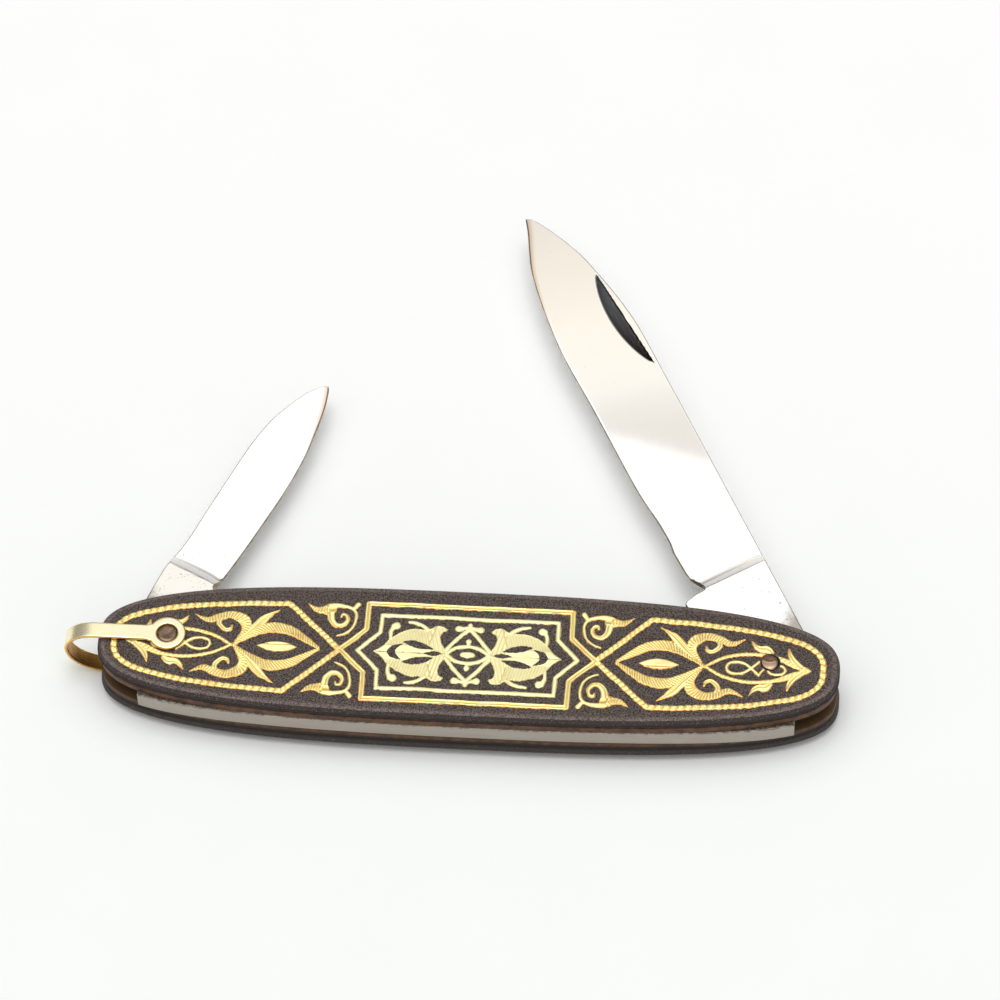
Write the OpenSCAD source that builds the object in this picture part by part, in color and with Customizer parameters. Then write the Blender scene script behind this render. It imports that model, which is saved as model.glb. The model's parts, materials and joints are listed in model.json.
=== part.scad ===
// Two-blade folding pen knife with inlaid steel scales and a wire bail.
// X runs along the handle, +Y is the side the blades open from, +Z is the front face.
// The origin is the centre of the handle, halfway through its thickness.
// Both blades are drawn half open, at about 60 degrees from their closed places.

/* [Handle] */
// Overall length of the two scales
handle_length = 80; // [76:1:84]
// Overall width of the scales across the middle
handle_width = 16.2; // [15.6:0.1:17]
// How square the ends of the oval are
oval_power = 2.9; // [2.6:0.1:3.3]

/* [Layers] */
// Thickness of each steel scale
scale_thickness = 1.5; // [1.3:0.1:2]
// Thickness of each brass liner
liner_thickness = 1; // [0.7:0.1:1.2]
// Width of the slot between the liners, filled by the spring
slot_width = 2.2; // [2.1:0.1:2.6]
// How far the liners and the spring sit back from the scales' rim
liner_inset = 0.3; // [0.2:0.05:0.5]
// Height of the gold above the steel
inlay_height = 0.12; // [0.08:0.02:0.16]

/* [Blades] */
// Thickness of each blade at its spine
blade_thickness = 1.02; // [0.9:0.02:1.04]
// Thickness left at the cutting edges
edge_thickness = 0.12; // [0.1:0.02:0.3]
// Large blade, pivot to tip
large_length = 66.2; // [62:0.2:66.4]
// Large blade, how far open it is drawn
large_open_angle = 60; // [0:1:90]
// Small blade, pivot to tip
small_length = 38.5; // [34:0.5:40]
// Small blade, how far open it is drawn
small_open_angle = 62; // [0:1:90]

/* [Pins and spring] */
// Distance of each pivot from the middle of the handle
pivot_x = 32.5; // [32:0.1:33]
// Height of the pivots above the handle's centre line
pivot_y = 0.6; // [0.4:0.1:1]
// Radius of the large blade's pin
large_pin_radius = 1; // [0.9:0.05:1.1]
// Radius of the small blade's pin
small_pin_radius = 1.05; // [0.95:0.05:1.15]
// How far the large pin's peened heads stand above the scales
pin_head_height = 0.45; // [0.3:0.05:0.6]
// Radius of the round part of each tang
tang_radius = 4.15; // [3.9:0.05:4.3]
// Distance of the spring's ends from the middle of the handle
spring_end_x = 35.4; // [35:0.1:35.6]

/* [Bail] */
// Radius of the flat eyes around the small blade's pin
eye_radius = 2; // [1.9:0.05:2.3]
// Width of the strip
bail_width = 1.86; // [1.5:0.02:2.2]
// Thickness of the strip
bail_thickness = 0.4; // [0.3:0.05:0.5]
// How far the loop reaches past the small blade's pin
bail_reach = 11.3; // [10.6:0.1:13]

/* [Ornament] */
// How far the ornament sits from the handle's centre line, towards the spring
ornament_drop = 0.2; // [0:0.05:0.3]
// Width of the notched gold border
border_width = 0.75; // [0.5:0.05:1]
// Width of the outer line around the middle panel
panel_line = 0.6; // [0.4:0.05:0.8]
// Width of the inner, pale line
inner_line = 0.5; // [0.3:0.05:0.6]

/* [Hidden] */

half_length = handle_length / 2;
half_width = handle_width / 2;
slot_z = slot_width / 2;
liner_z = slot_z + liner_thickness;
face_z = liner_z + scale_thickness;
rim_round = 0.45;
rim_chamfer = 0.3;
rim_undercut = 0.8;
outline_steps = 72;

fixed_gap = 0.02;
running_gap = 0.04;
side_gap = (slot_z - blade_thickness) / 2;
spring_gap = 0.05;
spring_y = pivot_y - tang_radius - spring_gap;
spring_waist = 1.1;
spring_lift = 0.5;
spring_steps = 24;
rivet_radius = 0.8;
rivet_y = -6.3;
spacer_radius = 2.4;
spacer_thickness = slot_z - 2 * side_gap;
shoulder_u = spring_end_x - pivot_x + 0.25;

large_closed_tilt = 2.6;
small_closed_tilt = 6.4;
large_spine = 5.7;
large_edge = 3.5;
large_plunge = 13.3;
small_spine = 4.8;
small_edge = 1.9;
small_plunge = 10.3;

eye_gap = 0.15;
eye_bore_gap = 0.07;
small_pin_sunk = 0.08;
eye_z = face_z + eye_gap;
bail_z = eye_z + bail_thickness / 2;
bail_end_x = -pivot_x - bail_reach;

// ---------- curves ----------

// A point on an oval whose corners get squarer as the power rises.
function power_sign(value, power) = sign(value) * pow(abs(value), power);
function oval_point(a, b, angle, power) =
    [a * power_sign(cos(angle), 2 / power), b * power_sign(sin(angle), 2 / power)];

// Catmull-Rom curve through points [x, y, half width].
function curve_point(p0, p1, p2, p3, t) =
    0.5 * (2 * p1 + (p2 - p0) * t + (2 * p0 - 5 * p1 + 4 * p2 - p3) * t * t
        + (3 * p1 - p0 - 3 * p2 + p3) * t * t * t);
function smooth_path(p, steps) = let(last = len(p) - 1) [
    for (i = [0 : last - 1])
        for (k = [0 : steps - 1])
            curve_point(p[max(i - 1, 0)], p[i], p[i + 1], p[min(i + 2, last)], k / steps),
    p[last]
];

function unit(v) = v / norm(v);
function flat(p) = [p[0], p[1]];
function left_of(v) = [-v[1], v[0]];
// One side of a path, moved out by each point's half width, with mitred corners.
function path_side(q, side) = let(last = len(q) - 1) [
    for (i = [0 : last])
        let(
            before = unit(flat(q[max(i, 1)] - q[max(i, 1) - 1])),
            after = unit(flat(q[min(i, last - 1) + 1] - q[min(i, last - 1)])),
            across = unit(left_of(before + after))
        )
        flat(q[i]) + side * across * q[i][2] / max(across * left_of(before), 0.4)
];
function reversed(list) = [for (i = [len(list) - 1 : -1 : 0]) list[i]];

// A band that follows a path and is as wide at each point as the path says.
module band(path) {
    polygon(concat(path_side(path, 1), reversed(path_side(path, -1))));
}

module stroke(points, steps = 3) {
    band(smooth_path(points, steps));
}

function same_width(points, width) = [for (p = points) [p[0], p[1], width / 2]];

module mirrored_y() {
    children();
    mirror([0, 1]) children();
}

module four_ways() {
    mirrored_y() children();
    mirror([1, 0]) mirrored_y() children();
}

module both_ends() {
    children();
    mirror([1, 0]) children();
}

// ---------- handle ----------

module handle_outline(inset) {
    polygon([
        for (i = [0 : outline_steps - 1])
            oval_point(half_length - inset, half_width - inset, 360 * i / outline_steps, oval_power)
    ]);
}

module handle_slab(z, thickness, inset) {
    translate([0, 0, z]) linear_extrude(thickness) handle_outline(inset);
}

module pin_holes(gap) {
    translate([pivot_x, pivot_y, -face_z]) cylinder(r = large_pin_radius + gap, h = 3 * face_z, $fn = 48);
    translate([-pivot_x, pivot_y, -face_z]) cylinder(r = small_pin_radius + gap, h = 3 * face_z, $fn = 48);
}

// A scale: a flat plate with a rounded outer rim, drawn in underneath to meet its liner.
module scale_plate() {
    sliver = 0.02;
    difference() {
        hull() {
            handle_slab(liner_z, sliver, rim_chamfer);
            handle_slab(liner_z + rim_undercut, scale_thickness - rim_undercut - rim_round, 0);
            handle_slab(face_z - rim_round * 0.3, sliver, rim_round * 0.3);
            handle_slab(face_z - sliver, sliver, rim_round);
        }
        pin_holes(fixed_gap);
    }
}

module liner_plate() {
    difference() {
        handle_slab(slot_z, liner_thickness, liner_inset);
        pin_holes(fixed_gap);
        translate([0, rivet_y, 0]) cylinder(r = rivet_radius + fixed_gap, h = face_z, $fn = 48);
    }
}

module front_scale() {
    color("#3c3837") scale_plate();
}

module back_scale() {
    color("#3c3837") mirror([0, 0, 1]) scale_plate();
}

module front_liner() {
    color("#8a6a3a") liner_plate();
}

module back_liner() {
    color("#8a6a3a") mirror([0, 0, 1]) liner_plate();
}

// The spring's outer edge follows the handle's back. The half open tangs lift its two ends.
function spring_back(x) = let(
    inset = liner_inset + 0.05,
    along = abs(x) / (half_length - inset),
    bent = max(0, abs(x) / spring_end_x - 0.4) / 0.6
) -(half_width - inset) * pow(1 - pow(along, oval_power), 1 / oval_power) - spring_lift * bent * bent;

// The back spring fills the slot, ends short of the liners and is thinner between the blades.
module back_spring() {
    waist_y = spring_y - spring_waist;
    color("#a6a09d") difference() {
        translate([0, 0, -slot_z + fixed_gap]) linear_extrude(slot_width - 2 * fixed_gap)
            polygon(concat(
                [for (k = [-spring_steps : spring_steps])
                    let(x = spring_end_x * k / spring_steps) [x, spring_back(x)]],
                [[spring_end_x, spring_y], [17.7, spring_y], [16.5, waist_y],
                    [-16.5, waist_y], [-17.7, spring_y], [-spring_end_x, spring_y]]
            ));
        translate([0, rivet_y, -face_z]) cylinder(r = rivet_radius + fixed_gap, h = 2 * face_z, $fn = 48);
    }
}

module spring_rivet() {
    color("#8a6a3a") translate([0, rivet_y, -liner_z])
        cylinder(r = rivet_radius, h = 2 * liner_z, $fn = 48);
}

// ---------- pins ----------

// A pin with the edges of both ends broken, as peening leaves them.
module pin(radius, reach) {
    bevel = 0.2;
    translate([0, 0, -reach + bevel]) cylinder(r = radius, h = 2 * reach - 2 * bevel, $fn = 48);
    for (flip = [0, 1])
        mirror([0, 0, flip]) translate([0, 0, reach - bevel])
            cylinder(r1 = radius, r2 = radius - bevel, h = bevel, $fn = 48);
}

module large_blade_pin() {
    color("#7a5a42") translate([pivot_x, pivot_y, 0]) pin(large_pin_radius, face_z + pin_head_height);
}

module small_blade_pin() {
    color("#7a5a42") translate([-pivot_x, pivot_y, 0])
        pin(small_pin_radius, eye_z + bail_thickness - small_pin_sunk);
}

// A brass washer beside a tang, which keeps its blade in its own half of the slot.
module spacer(pin_radius) {
    difference() {
        cylinder(r = spacer_radius, h = spacer_thickness, $fn = 64);
        translate([0, 0, -1]) cylinder(r = pin_radius + fixed_gap, h = 4, $fn = 48);
    }
}

module large_blade_spacer() {
    color("#b08a45") translate([pivot_x, pivot_y, -slot_z + side_gap]) spacer(large_pin_radius);
}

module small_blade_spacer() {
    color("#b08a45") translate([-pivot_x, pivot_y, side_gap]) spacer(small_pin_radius);
}

// ---------- blades ----------
// Each blade is drawn along +X from its pivot, with its cutting edge on +Y.

// Points from (u, v), where the curve leaves straight along X, round to a tip at (tip, 0).
function tip_arc(u, v, tip, steps) = let(
    reach = tip - u,
    radius = (reach * reach + v * v) / (2 * abs(v))
) [
    for (k = [0 : steps])
        let(x = reach * k / steps)
        [u + x, v - sign(v) * (radius - sqrt(radius * radius - x * x))]
];

// The tang is round about the pin, flat towards the kick and square where it stops on the spring.
module blade_outline(spine, blade_points, kick_u, kick_v) {
    circle(r = tang_radius, $fn = 96);
    polygon(concat(
        [[shoulder_u, 0], [shoulder_u, -spine]],
        blade_points,
        [[kick_u, kick_v], [0, tang_radius], [0, 0]]
    ));
}

module large_outline() {
    spine_end = large_length - 19.2;
    edge_end = large_length - 21.2;
    blade_outline(large_spine, concat(
        tip_arc(spine_end, -large_spine, large_length, 10),
        reversed(tip_arc(edge_end, large_edge, large_length, 8)),
        [[28, 3.35], [16, 2.9], [15.1, 2.78], [14.3, 2.35], [13.6, 1.85], [13.05, 1.76], [12.75, 2.1],
            [12.55, 3.2], [12.2, 4.35]]
    ), 11.6, 4.55);
}

module small_outline() {
    spine_end = small_length - 11;
    edge_end = small_length - 12.5;
    blade_outline(5.5, concat(
        [[9.2, -5.5], [10.8, -5.22], [12.6, -4.95], [18, -small_spine]],
        tip_arc(spine_end, 0.3 - small_spine, small_length, 8),
        reversed(tip_arc(edge_end, small_edge, small_length, 6)),
        [[17, 1.5], [11.5, 0.95], [9.9, 0.4], [9, 0.7], [8.6, 2.2], [8.3, 4.3]]
    ), 7.8, 4.7);
}

// Keeps the tang full and thins the rest from the spine to the cutting edge.
module ground_section(spine, edge, plunge, length) {
    half_edge = edge_thickness / 2;
    half_spine = blade_thickness / 2;
    translate([-10, -10, -half_spine]) cube([plunge + 10, 20, blade_thickness]);
    translate([plunge - 0.1, 0, 0]) rotate([90, 0, 90]) linear_extrude(length) polygon([
        [-spine - 1, -half_spine], [-spine + 0.8, -half_spine], [edge, -half_edge],
        [edge, half_edge], [-spine + 0.8, half_spine], [-spine - 1, half_spine]
    ]);
}

// A crescent cut with a straight upper lip, for a thumb nail.
module nail_nick(lip_u, lip_v, tilt, half_chord, depth) {
    sagitta = 1.6;
    radius = (half_chord * half_chord + sagitta * sagitta) / (2 * sagitta);
    translate([lip_u, lip_v, blade_thickness / 2 - depth]) rotate([0, 0, tilt]) linear_extrude(1)
        intersection() {
            translate([0, sagitta - radius]) circle(r = radius, $fn = 128);
            translate([-half_chord, 0]) square([2 * half_chord, 2 * sagitta]);
        }
}

module large_blade_flat() {
    difference() {
        intersection() {
            translate([0, 0, -blade_thickness / 2]) linear_extrude(blade_thickness) large_outline();
            ground_section(large_spine, large_edge, large_plunge, large_length);
        }
        translate([0, 0, -1]) cylinder(r = large_pin_radius + running_gap, h = 2, $fn = 64);
        nail_nick(large_length - 17.1, -4.7, 4.4, 6.8, 0.3);
    }
}

module small_blade_flat() {
    difference() {
        intersection() {
            translate([0, 0, -blade_thickness / 2]) linear_extrude(blade_thickness) small_outline();
            ground_section(small_spine, small_edge, small_plunge, small_length);
        }
        translate([0, 0, -1]) cylinder(r = small_pin_radius + running_gap, h = 2, $fn = 64);
        nail_nick(small_length - 12.5, -3.9, 2, 4.6, 0.3);
    }
}

// The large blade lies in the front half of the slot and turns clockwise to open.
module large_blade() {
    color("#e6e4e0") translate([pivot_x, pivot_y, side_gap + blade_thickness / 2])
        rotate([0, 0, 180 - large_closed_tilt - large_open_angle]) large_blade_flat();
}

// The small blade lies in the back half, turned over so that its nick faces the back.
module small_blade() {
    color("#e6e4e0") translate([-pivot_x, pivot_y, -side_gap - blade_thickness / 2])
        rotate([0, 0, small_closed_tilt + small_open_angle]) rotate([180, 0, 0]) small_blade_flat();
}

// ---------- bail ----------

// Side view of the strip: front arm, tight front bend, wide back bend, back arm.
function bail_path() = let(
    bend_z = 1.1,
    front_x = bail_end_x + 3.4,
    back_x = bail_end_x + 5,
    strip_end = bail_end_x + bail_thickness / 2
) concat(
    [[-pivot_x, bail_z]],
    [for (a = [90 : 15 : 165]) [
        front_x + (front_x - strip_end) * cos(a), bend_z + (bail_z - bend_z) * sin(a)]],
    [for (a = [180 : 15 : 270]) [
        back_x + (back_x - strip_end) * cos(a), bend_z + (bail_z + bend_z) * sin(a)]],
    [[-pivot_x, -bail_z]]
);

module bail() {
    color("#d9a441") difference() {
        union() {
            translate([0, pivot_y + bail_width / 2, 0]) rotate([90, 0, 0])
                linear_extrude(bail_width) band(same_width(bail_path(), bail_thickness));
            for (flip = [0, 1])
                mirror([0, 0, flip]) translate([-pivot_x, pivot_y, eye_z])
                    cylinder(r = eye_radius, h = bail_thickness, $fn = 96);
        }
        translate([-pivot_x, pivot_y, -2 * face_z])
            cylinder(r = small_pin_radius + eye_bore_gap, h = 4 * face_z, $fn = 64);
    }
}

// ---------- gold inlay, drawn in the plane of the front face ----------

cross_x = 13.8;
frame_x = 19.6;
frame_end = 38.2;
frame_oval_y = 5.78;
frame_power = 3.1;
crossing_x = 25.4;

// The border: a lattice line out to the frame's corner, then an oval round the end.
module border_shape() {
    start = acos(pow(frame_x / frame_end, frame_power / 2));
    oval = [for (k = [0 : 16])
        oval_point(frame_end, frame_oval_y, start * (1 - k / 16), frame_power)];
    four_ways() band(same_width(concat([[cross_x, 0]], oval), border_width));
}

// A panel outline with pointed ends and square shoulders.
module panel_shape(point_x, notch, corner, width) {
    four_ways() band(same_width([[point_x, 0], notch, corner, [0, corner[1]]], width));
}

// Two lens-shaped leaf bands, a seed between them, side leaves and hooked tendrils.
module leaf_shape() {
    both_ends() {
        mirrored_y() {
            stroke([[crossing_x, -0.05, 0.18], [23.6, 1.3, 0.36], [21.6, 2.35, 0.62],
                [19.4, 2.15, 0.58], [17.7, 1.1, 0.38], [16.35, 0.08, 0.14]]);
            stroke([[25.1, 0.35, 0.12], [23.6, 1.75, 0.42], [22.3, 3.3, 0.44], [20.7, 4.5, 0.05]]);
            stroke([[25.1, 0.4, 0.15], [24.1, 1.9, 0.46], [24.3, 3.1, 0.62], [25.7, 3.75, 0.46],
                [27.1, 3.5, 0.4], [28.3, 2.95, 0.26], [29.6, 3.6, 0.05]]);
            stroke([[26.9, 3.45, 0.2], [27, 2.5, 0.22], [26.2, 1.75, 0.22], [25.5, 2.25, 0.08]]);
        }
        stroke([[18.6, 0, 0.05], [19.6, 0, 0.48], [20.8, 0, 0.64], [22, 0, 0.42], [23, 0, 0.05]]);
    }
}

// An almond that ends in an arrow head, with two linked loops inside and a bud on each side.
module finial_shape() {
    difference() {
        both_ends() {
            mirrored_y() {
                stroke([[crossing_x + 0.3, 0.06, 0.14], [27.4, 1.1, 0.17], [30, 1.72, 0.17],
                    [32.8, 1.55, 0.2], [35.2, 0.6, 0.38], [36.9, 0.02, 0.1]]);
                stroke([[35.7, 0.45, 0.3], [35, 1.3, 0.34], [34.5, 2.6, 0.1]]);
                stroke([[32.9, 2.1, 0.2], [32.1, 2.35, 0.42], [31.2, 2.4, 0.36], [30.5, 3.4, 0.08]]);
            }
            stroke([[31.7, 0.85, 0.12], [30.85, 0.02, 0.16], [30, -0.5, 0.14], [28.75, -0.56, 0.13],
                [27.9, -0.1, 0.13], [27.95, 0.15, 0.13]]);
            stroke([[31.6, -0.75, 0.16], [30.85, -0.02, 0.16], [30, 0.5, 0.14], [28.75, 0.56, 0.13],
                [27.9, 0.1, 0.13], [27.95, -0.15, 0.13]]);
            stroke([[31.45, -0.7, 0.12], [32.2, -0.4, 0.15], [33.2, -0.6, 0.14], [34.2, 0, 0.14],
                [33.4, 0.58, 0.13]]);
        }
        translate([pivot_x, pivot_y + ornament_drop]) circle(r = large_pin_radius + 0.15, $fn = 48);
        translate([-pivot_x, pivot_y + ornament_drop]) circle(r = small_pin_radius + 0.15, $fn = 48);
    }
}

// A scroll in each corner outside the panel: leaf tail, curl and an outer tendril with a bud.
module scroll_shape() {
    four_ways() {
        stroke([[17.5, 5.7, 0.06], [16.85, 4.95, 0.34], [15.8, 4.95, 0.36], [15.25, 4.2, 0.4],
            [14.8, 3.35, 0.36], [13.8, 3.15, 0.28], [13.1, 3.8, 0.2], [13.3, 4.4, 0.1]]);
        stroke([[15.8, 5.1, 0.25], [14.4, 5.6, 0.2], [12.9, 5.35, 0.18], [12.15, 4.5, 0.16],
            [12.45, 3.2, 0.15], [13.3, 2.35, 0.12], [14.1, 1.95, 0.08]]);
        translate([12.35, 5.8]) circle(r = 0.34, $fn = 16);
    }
}

// One half of a tulip: its outer edge from the tip to the side leaf, then back to the stem.
module tulip_half() {
    polygon(concat(
        smooth_path([[10.3, 0], [9.3, 0.65], [8.5, 1.65], [7.4, 2.5], [6, 3], [4.7, 2.95], [4.1, 3.35],
            [2.45, 3.4]], 3),
        smooth_path([[3.15, 2.8], [3.35, 2], [2.95, 1.3], [2.35, 0.5], [2.1, 0]], 3)
    ));
}

// Two facing tulips, a central eye and diamond lines with small buds.
module centre_shape() {
    difference() {
        four_ways() tulip_half();
        four_ways() {
            stroke([[6.95, 1.25, 0.05], [6, 1.27, 0.24], [5, 1.1, 0.26], [3.9, 0.75, 0.04]]);
            stroke([[7.3, 1, 0.05], [8, 0.75, 0.2], [8.65, 0.3, 0.22], [8.9, -0.1, 0.12]]);
        }
        both_ends() stroke([[4.8, 0, 0.04], [3.8, 0, 0.28], [2.9, 0, 0.04]]);
    }
    four_ways() {
        stroke([[8.6, 1.6, 0.16], [8.35, 2.6, 0.18], [8.05, 3.3, 0.2]], 2);
        translate([7.9, 3.45]) circle(r = 0.42, $fn = 16);
        stroke([[4.6, 2.8, 0.2], [5.5, 3.6, 0.17], [6.5, 3.85, 0.12]]);
        stroke([[2.4, 0.5, 0.2], [1.2, 2, 0.2], [-0.1, 3.3, 0.2]], 2);
        stroke([[2.3, 0, 0.2], [1.3, 0.78, 0.18], [-0.05, 1.05, 0.2]]);
        translate([0.95, 3.45]) circle(r = 0.36, $fn = 16);
    }
    mirrored_y() {
        translate([0, 1.5]) circle(r = 0.32, $fn = 16);
        translate([0, 3.6]) circle(r = 0.3, $fn = 16);
    }
    stroke([[-0.95, 0, 0.22], [0, 0, 0.36], [0.95, 0, 0.22]]);
}

module panel_line_shape() {
    panel_shape(cross_x, [11.1, 2.7], [11.02, 5.98], panel_line);
}

module inner_panel_line_shape() {
    panel_shape(11.85, [9.6, 2.37], [9.53, 4.57], inner_line);
}

// Raises a flat shape on the front face, or on the back face when back is true.
module raised(back) {
    mirror([0, 0, back ? 1 : 0]) translate([0, -ornament_drop, face_z])
        linear_extrude(inlay_height) children();
}

module front_border_inlay() {
    color("#f0b04c") raised(false) border_shape();
}

module front_panel_inlay() {
    color("#f5bd5c") raised(false) difference() {
        panel_line_shape();
        border_shape();
    }
}

module front_inner_panel_inlay() {
    color("#f5e49a") raised(false) inner_panel_line_shape();
}

module front_centre_inlay() {
    color("#f0e090") raised(false) centre_shape();
}

module front_leaf_inlay() {
    color("#f2b755") raised(false) leaf_shape();
}

module front_finial_inlay() {
    color("#f2b755") raised(false) finial_shape();
}

module front_scroll_inlay() {
    color("#f2b755") raised(false) scroll_shape();
}

module back_border_inlay() {
    color("#f0b04c") raised(true) border_shape();
}

module back_panel_inlay() {
    color("#f5bd5c") raised(true) difference() {
        panel_line_shape();
        border_shape();
    }
}

module back_inner_panel_inlay() {
    color("#f5e49a") raised(true) inner_panel_line_shape();
}

module back_centre_inlay() {
    color("#f0e090") raised(true) centre_shape();
}

module back_leaf_inlay() {
    color("#f2b755") raised(true) leaf_shape();
}

module back_finial_inlay() {
    color("#f2b755") raised(true) finial_shape();
}

module back_scroll_inlay() {
    color("#f2b755") raised(true) scroll_shape();
}

front_scale();
back_scale();
front_liner();
back_liner();
back_spring();
spring_rivet();
large_blade();
small_blade();
large_blade_pin();
small_blade_pin();
large_blade_spacer();
small_blade_spacer();
bail();
front_border_inlay();
front_panel_inlay();
front_inner_panel_inlay();
front_centre_inlay();
front_leaf_inlay();
front_finial_inlay();
front_scroll_inlay();
back_border_inlay();
back_panel_inlay();
back_inner_panel_inlay();
back_centre_inlay();
back_leaf_inlay();
back_finial_inlay();
back_scroll_inlay();
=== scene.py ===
"""The looks of a two-blade pen knife with gold-inlaid steel scales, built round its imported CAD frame.

Shapes are worked out in millimetres, in the frame's own axes: X along the handle, +Y towards the
open blades, +Z out of the front face. They become metres when a mesh is made.
"""
import json
import math

import bmesh
import bpy
import numpy as np
from mathutils import Matrix, Vector


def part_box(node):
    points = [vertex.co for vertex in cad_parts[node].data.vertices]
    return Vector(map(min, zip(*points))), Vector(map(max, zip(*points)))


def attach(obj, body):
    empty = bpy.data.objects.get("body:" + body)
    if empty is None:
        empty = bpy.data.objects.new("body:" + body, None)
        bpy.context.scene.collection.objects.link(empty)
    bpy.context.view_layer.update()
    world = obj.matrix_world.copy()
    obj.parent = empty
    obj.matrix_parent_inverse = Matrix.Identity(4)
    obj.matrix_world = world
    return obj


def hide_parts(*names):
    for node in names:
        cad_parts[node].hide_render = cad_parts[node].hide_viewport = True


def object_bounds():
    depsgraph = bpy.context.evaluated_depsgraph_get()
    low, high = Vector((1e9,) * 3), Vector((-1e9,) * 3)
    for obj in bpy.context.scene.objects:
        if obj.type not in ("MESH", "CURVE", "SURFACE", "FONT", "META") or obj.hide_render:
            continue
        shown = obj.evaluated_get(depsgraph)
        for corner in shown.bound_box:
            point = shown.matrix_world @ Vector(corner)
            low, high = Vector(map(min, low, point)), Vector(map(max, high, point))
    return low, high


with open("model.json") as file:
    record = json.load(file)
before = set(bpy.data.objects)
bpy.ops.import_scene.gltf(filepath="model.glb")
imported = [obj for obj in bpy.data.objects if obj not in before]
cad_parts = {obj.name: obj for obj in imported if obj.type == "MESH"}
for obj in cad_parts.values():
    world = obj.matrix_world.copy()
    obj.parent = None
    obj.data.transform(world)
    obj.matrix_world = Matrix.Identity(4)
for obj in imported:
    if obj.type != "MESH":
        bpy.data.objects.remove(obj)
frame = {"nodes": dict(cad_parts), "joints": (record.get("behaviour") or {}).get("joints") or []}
cad_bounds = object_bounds()

MM = 0.001


def box_mm(node):
    low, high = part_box(node)
    return low / MM, high / MM


# ---------- places, all from the frame ----------

pivots = {j["name"]: Vector(j["pos_m"]) / MM for j in frame["joints"]}
LARGE_PIVOT = pivots["large_blade_hinge"].xy
SMALL_PIVOT = pivots["small_blade_hinge"].xy

SCALE_LOW, SCALE_HIGH = box_mm("front_scale")
LINER_LOW, LINER_HIGH = box_mm("front_liner")
SPRING_LOW, SPRING_HIGH = box_mm("back_spring")
BORDER_LOW, BORDER_HIGH = box_mm("front_border_inlay")
BAIL_LOW, BAIL_HIGH = box_mm("bail")
LARGE_PIN_LOW, LARGE_PIN_HIGH = box_mm("large_blade_pin")
SMALL_PIN_LOW, SMALL_PIN_HIGH = box_mm("small_blade_pin")

HALF_LENGTH = SCALE_HIGH.x
HALF_WIDTH = SCALE_HIGH.y
FACE_Z = SCALE_HIGH.z
LARGE_PIN_RADIUS = (LARGE_PIN_HIGH.x - LARGE_PIN_LOW.x) / 2
SMALL_PIN_RADIUS = (SMALL_PIN_HIGH.x - SMALL_PIN_LOW.x) / 2
OVAL_POWER = 2.9
PIN_GAP = 0.02
BLADE_PIN_GAP = 0.04
EYE_PIN_GAP = 0.07

# ---------- curves ----------


def smooth(points, steps=4):
    """A Catmull-Rom curve through the points, with steps pieces between each two."""
    p = np.array(points, float)
    p = np.vstack([p[0], p, p[-1]])
    t = np.arange(steps)[:, None] / steps
    runs = [
        0.5 * (2 * b + (c - a) * t + (2 * a - 5 * b + 4 * c - d) * t ** 2
               + (3 * b - a - 3 * c + d) * t ** 3)
        for a, b, c, d in zip(p[:-3], p[1:-2], p[2:-1], p[3:])
    ]
    return np.vstack(runs + [p[-1:]])


def oval(half_x, half_y, angles, power=OVAL_POWER):
    """Points on an oval whose corners get squarer as the power rises."""
    c, s = np.cos(angles), np.sin(angles)
    return np.column_stack([
        half_x * np.sign(c) * np.abs(c) ** (2 / power),
        half_y * np.sign(s) * np.abs(s) ** (2 / power),
    ])


def handle_outline(inset, count=360):
    """The handle's outline, moved in by inset, with its points spread evenly round it."""
    angles = np.linspace(0, 2 * math.pi, 20 * count + 1)
    fine = oval(HALF_LENGTH - inset, HALF_WIDTH - inset, angles)
    run = np.concatenate([[0], np.cumsum(np.hypot(*np.diff(fine, axis=0).T))])
    even = np.linspace(0, run[-1], count + 1)[:-1]
    return np.column_stack([np.interp(even, run, fine[:, k]) for k in (0, 1)])


def circle(centre, radius, count=64):
    a = np.linspace(0, 2 * math.pi, count + 1)[:-1]
    return np.column_stack([centre[0] + radius * np.cos(a), centre[1] + radius * np.sin(a)])


def ease(t):
    """0 below 0, 1 above 1 and smooth between."""
    t = np.clip(t, 0, 1)
    return t * t * (3 - 2 * t)


def ripple(x, y, seed):
    """A smooth, uneven field of about -1 to 1 that repeats exactly from run to run."""
    rng = np.random.default_rng(seed)
    total = np.zeros_like(x)
    for _ in range(6):
        angle, phase = rng.uniform(0, 2 * math.pi, 2)
        rate = rng.uniform(0.6, 1.6)
        total += np.sin(rate * (x * math.cos(angle) + y * math.sin(angle)) + phase)
    return total / 3


# ---------- meshes ----------


def link(name, data):
    obj = bpy.data.objects.new(name, data)
    bpy.context.scene.collection.objects.link(obj)
    return obj


def shade(mesh, sharp_degrees=35):
    """Smooth shading, except where faces meet at a sharp angle."""
    mesh.shade_smooth()
    mesh.set_sharp_from_angle(angle=math.radians(sharp_degrees))


def make_object(name, points, faces, sharp_degrees=35):
    """A mesh object from points in millimetres."""
    mesh = bpy.data.meshes.new(name)
    mesh.from_pydata((np.asarray(points, float) * MM).tolist(), [], faces)
    shade(mesh, sharp_degrees)
    return link(name, mesh)


def face_outwards(bm):
    bmesh.ops.recalc_face_normals(bm, faces=bm.faces)


def change(mesh, work):
    """Runs work on the mesh as a bmesh."""
    bm = bmesh.new()
    bm.from_mesh(mesh)
    work(bm)
    bm.to_mesh(mesh)
    bm.free()


def add_modifier(obj, kind, **values):
    modifier = obj.modifiers.new(kind.title(), kind)
    for key, value in values.items():
        setattr(modifier, key, value)


def bevel(obj, width, segments, least_degrees):
    add_modifier(obj, "BEVEL", width=width * MM, segments=segments, limit_method="ANGLE",
                 angle_limit=math.radians(least_degrees))


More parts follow.
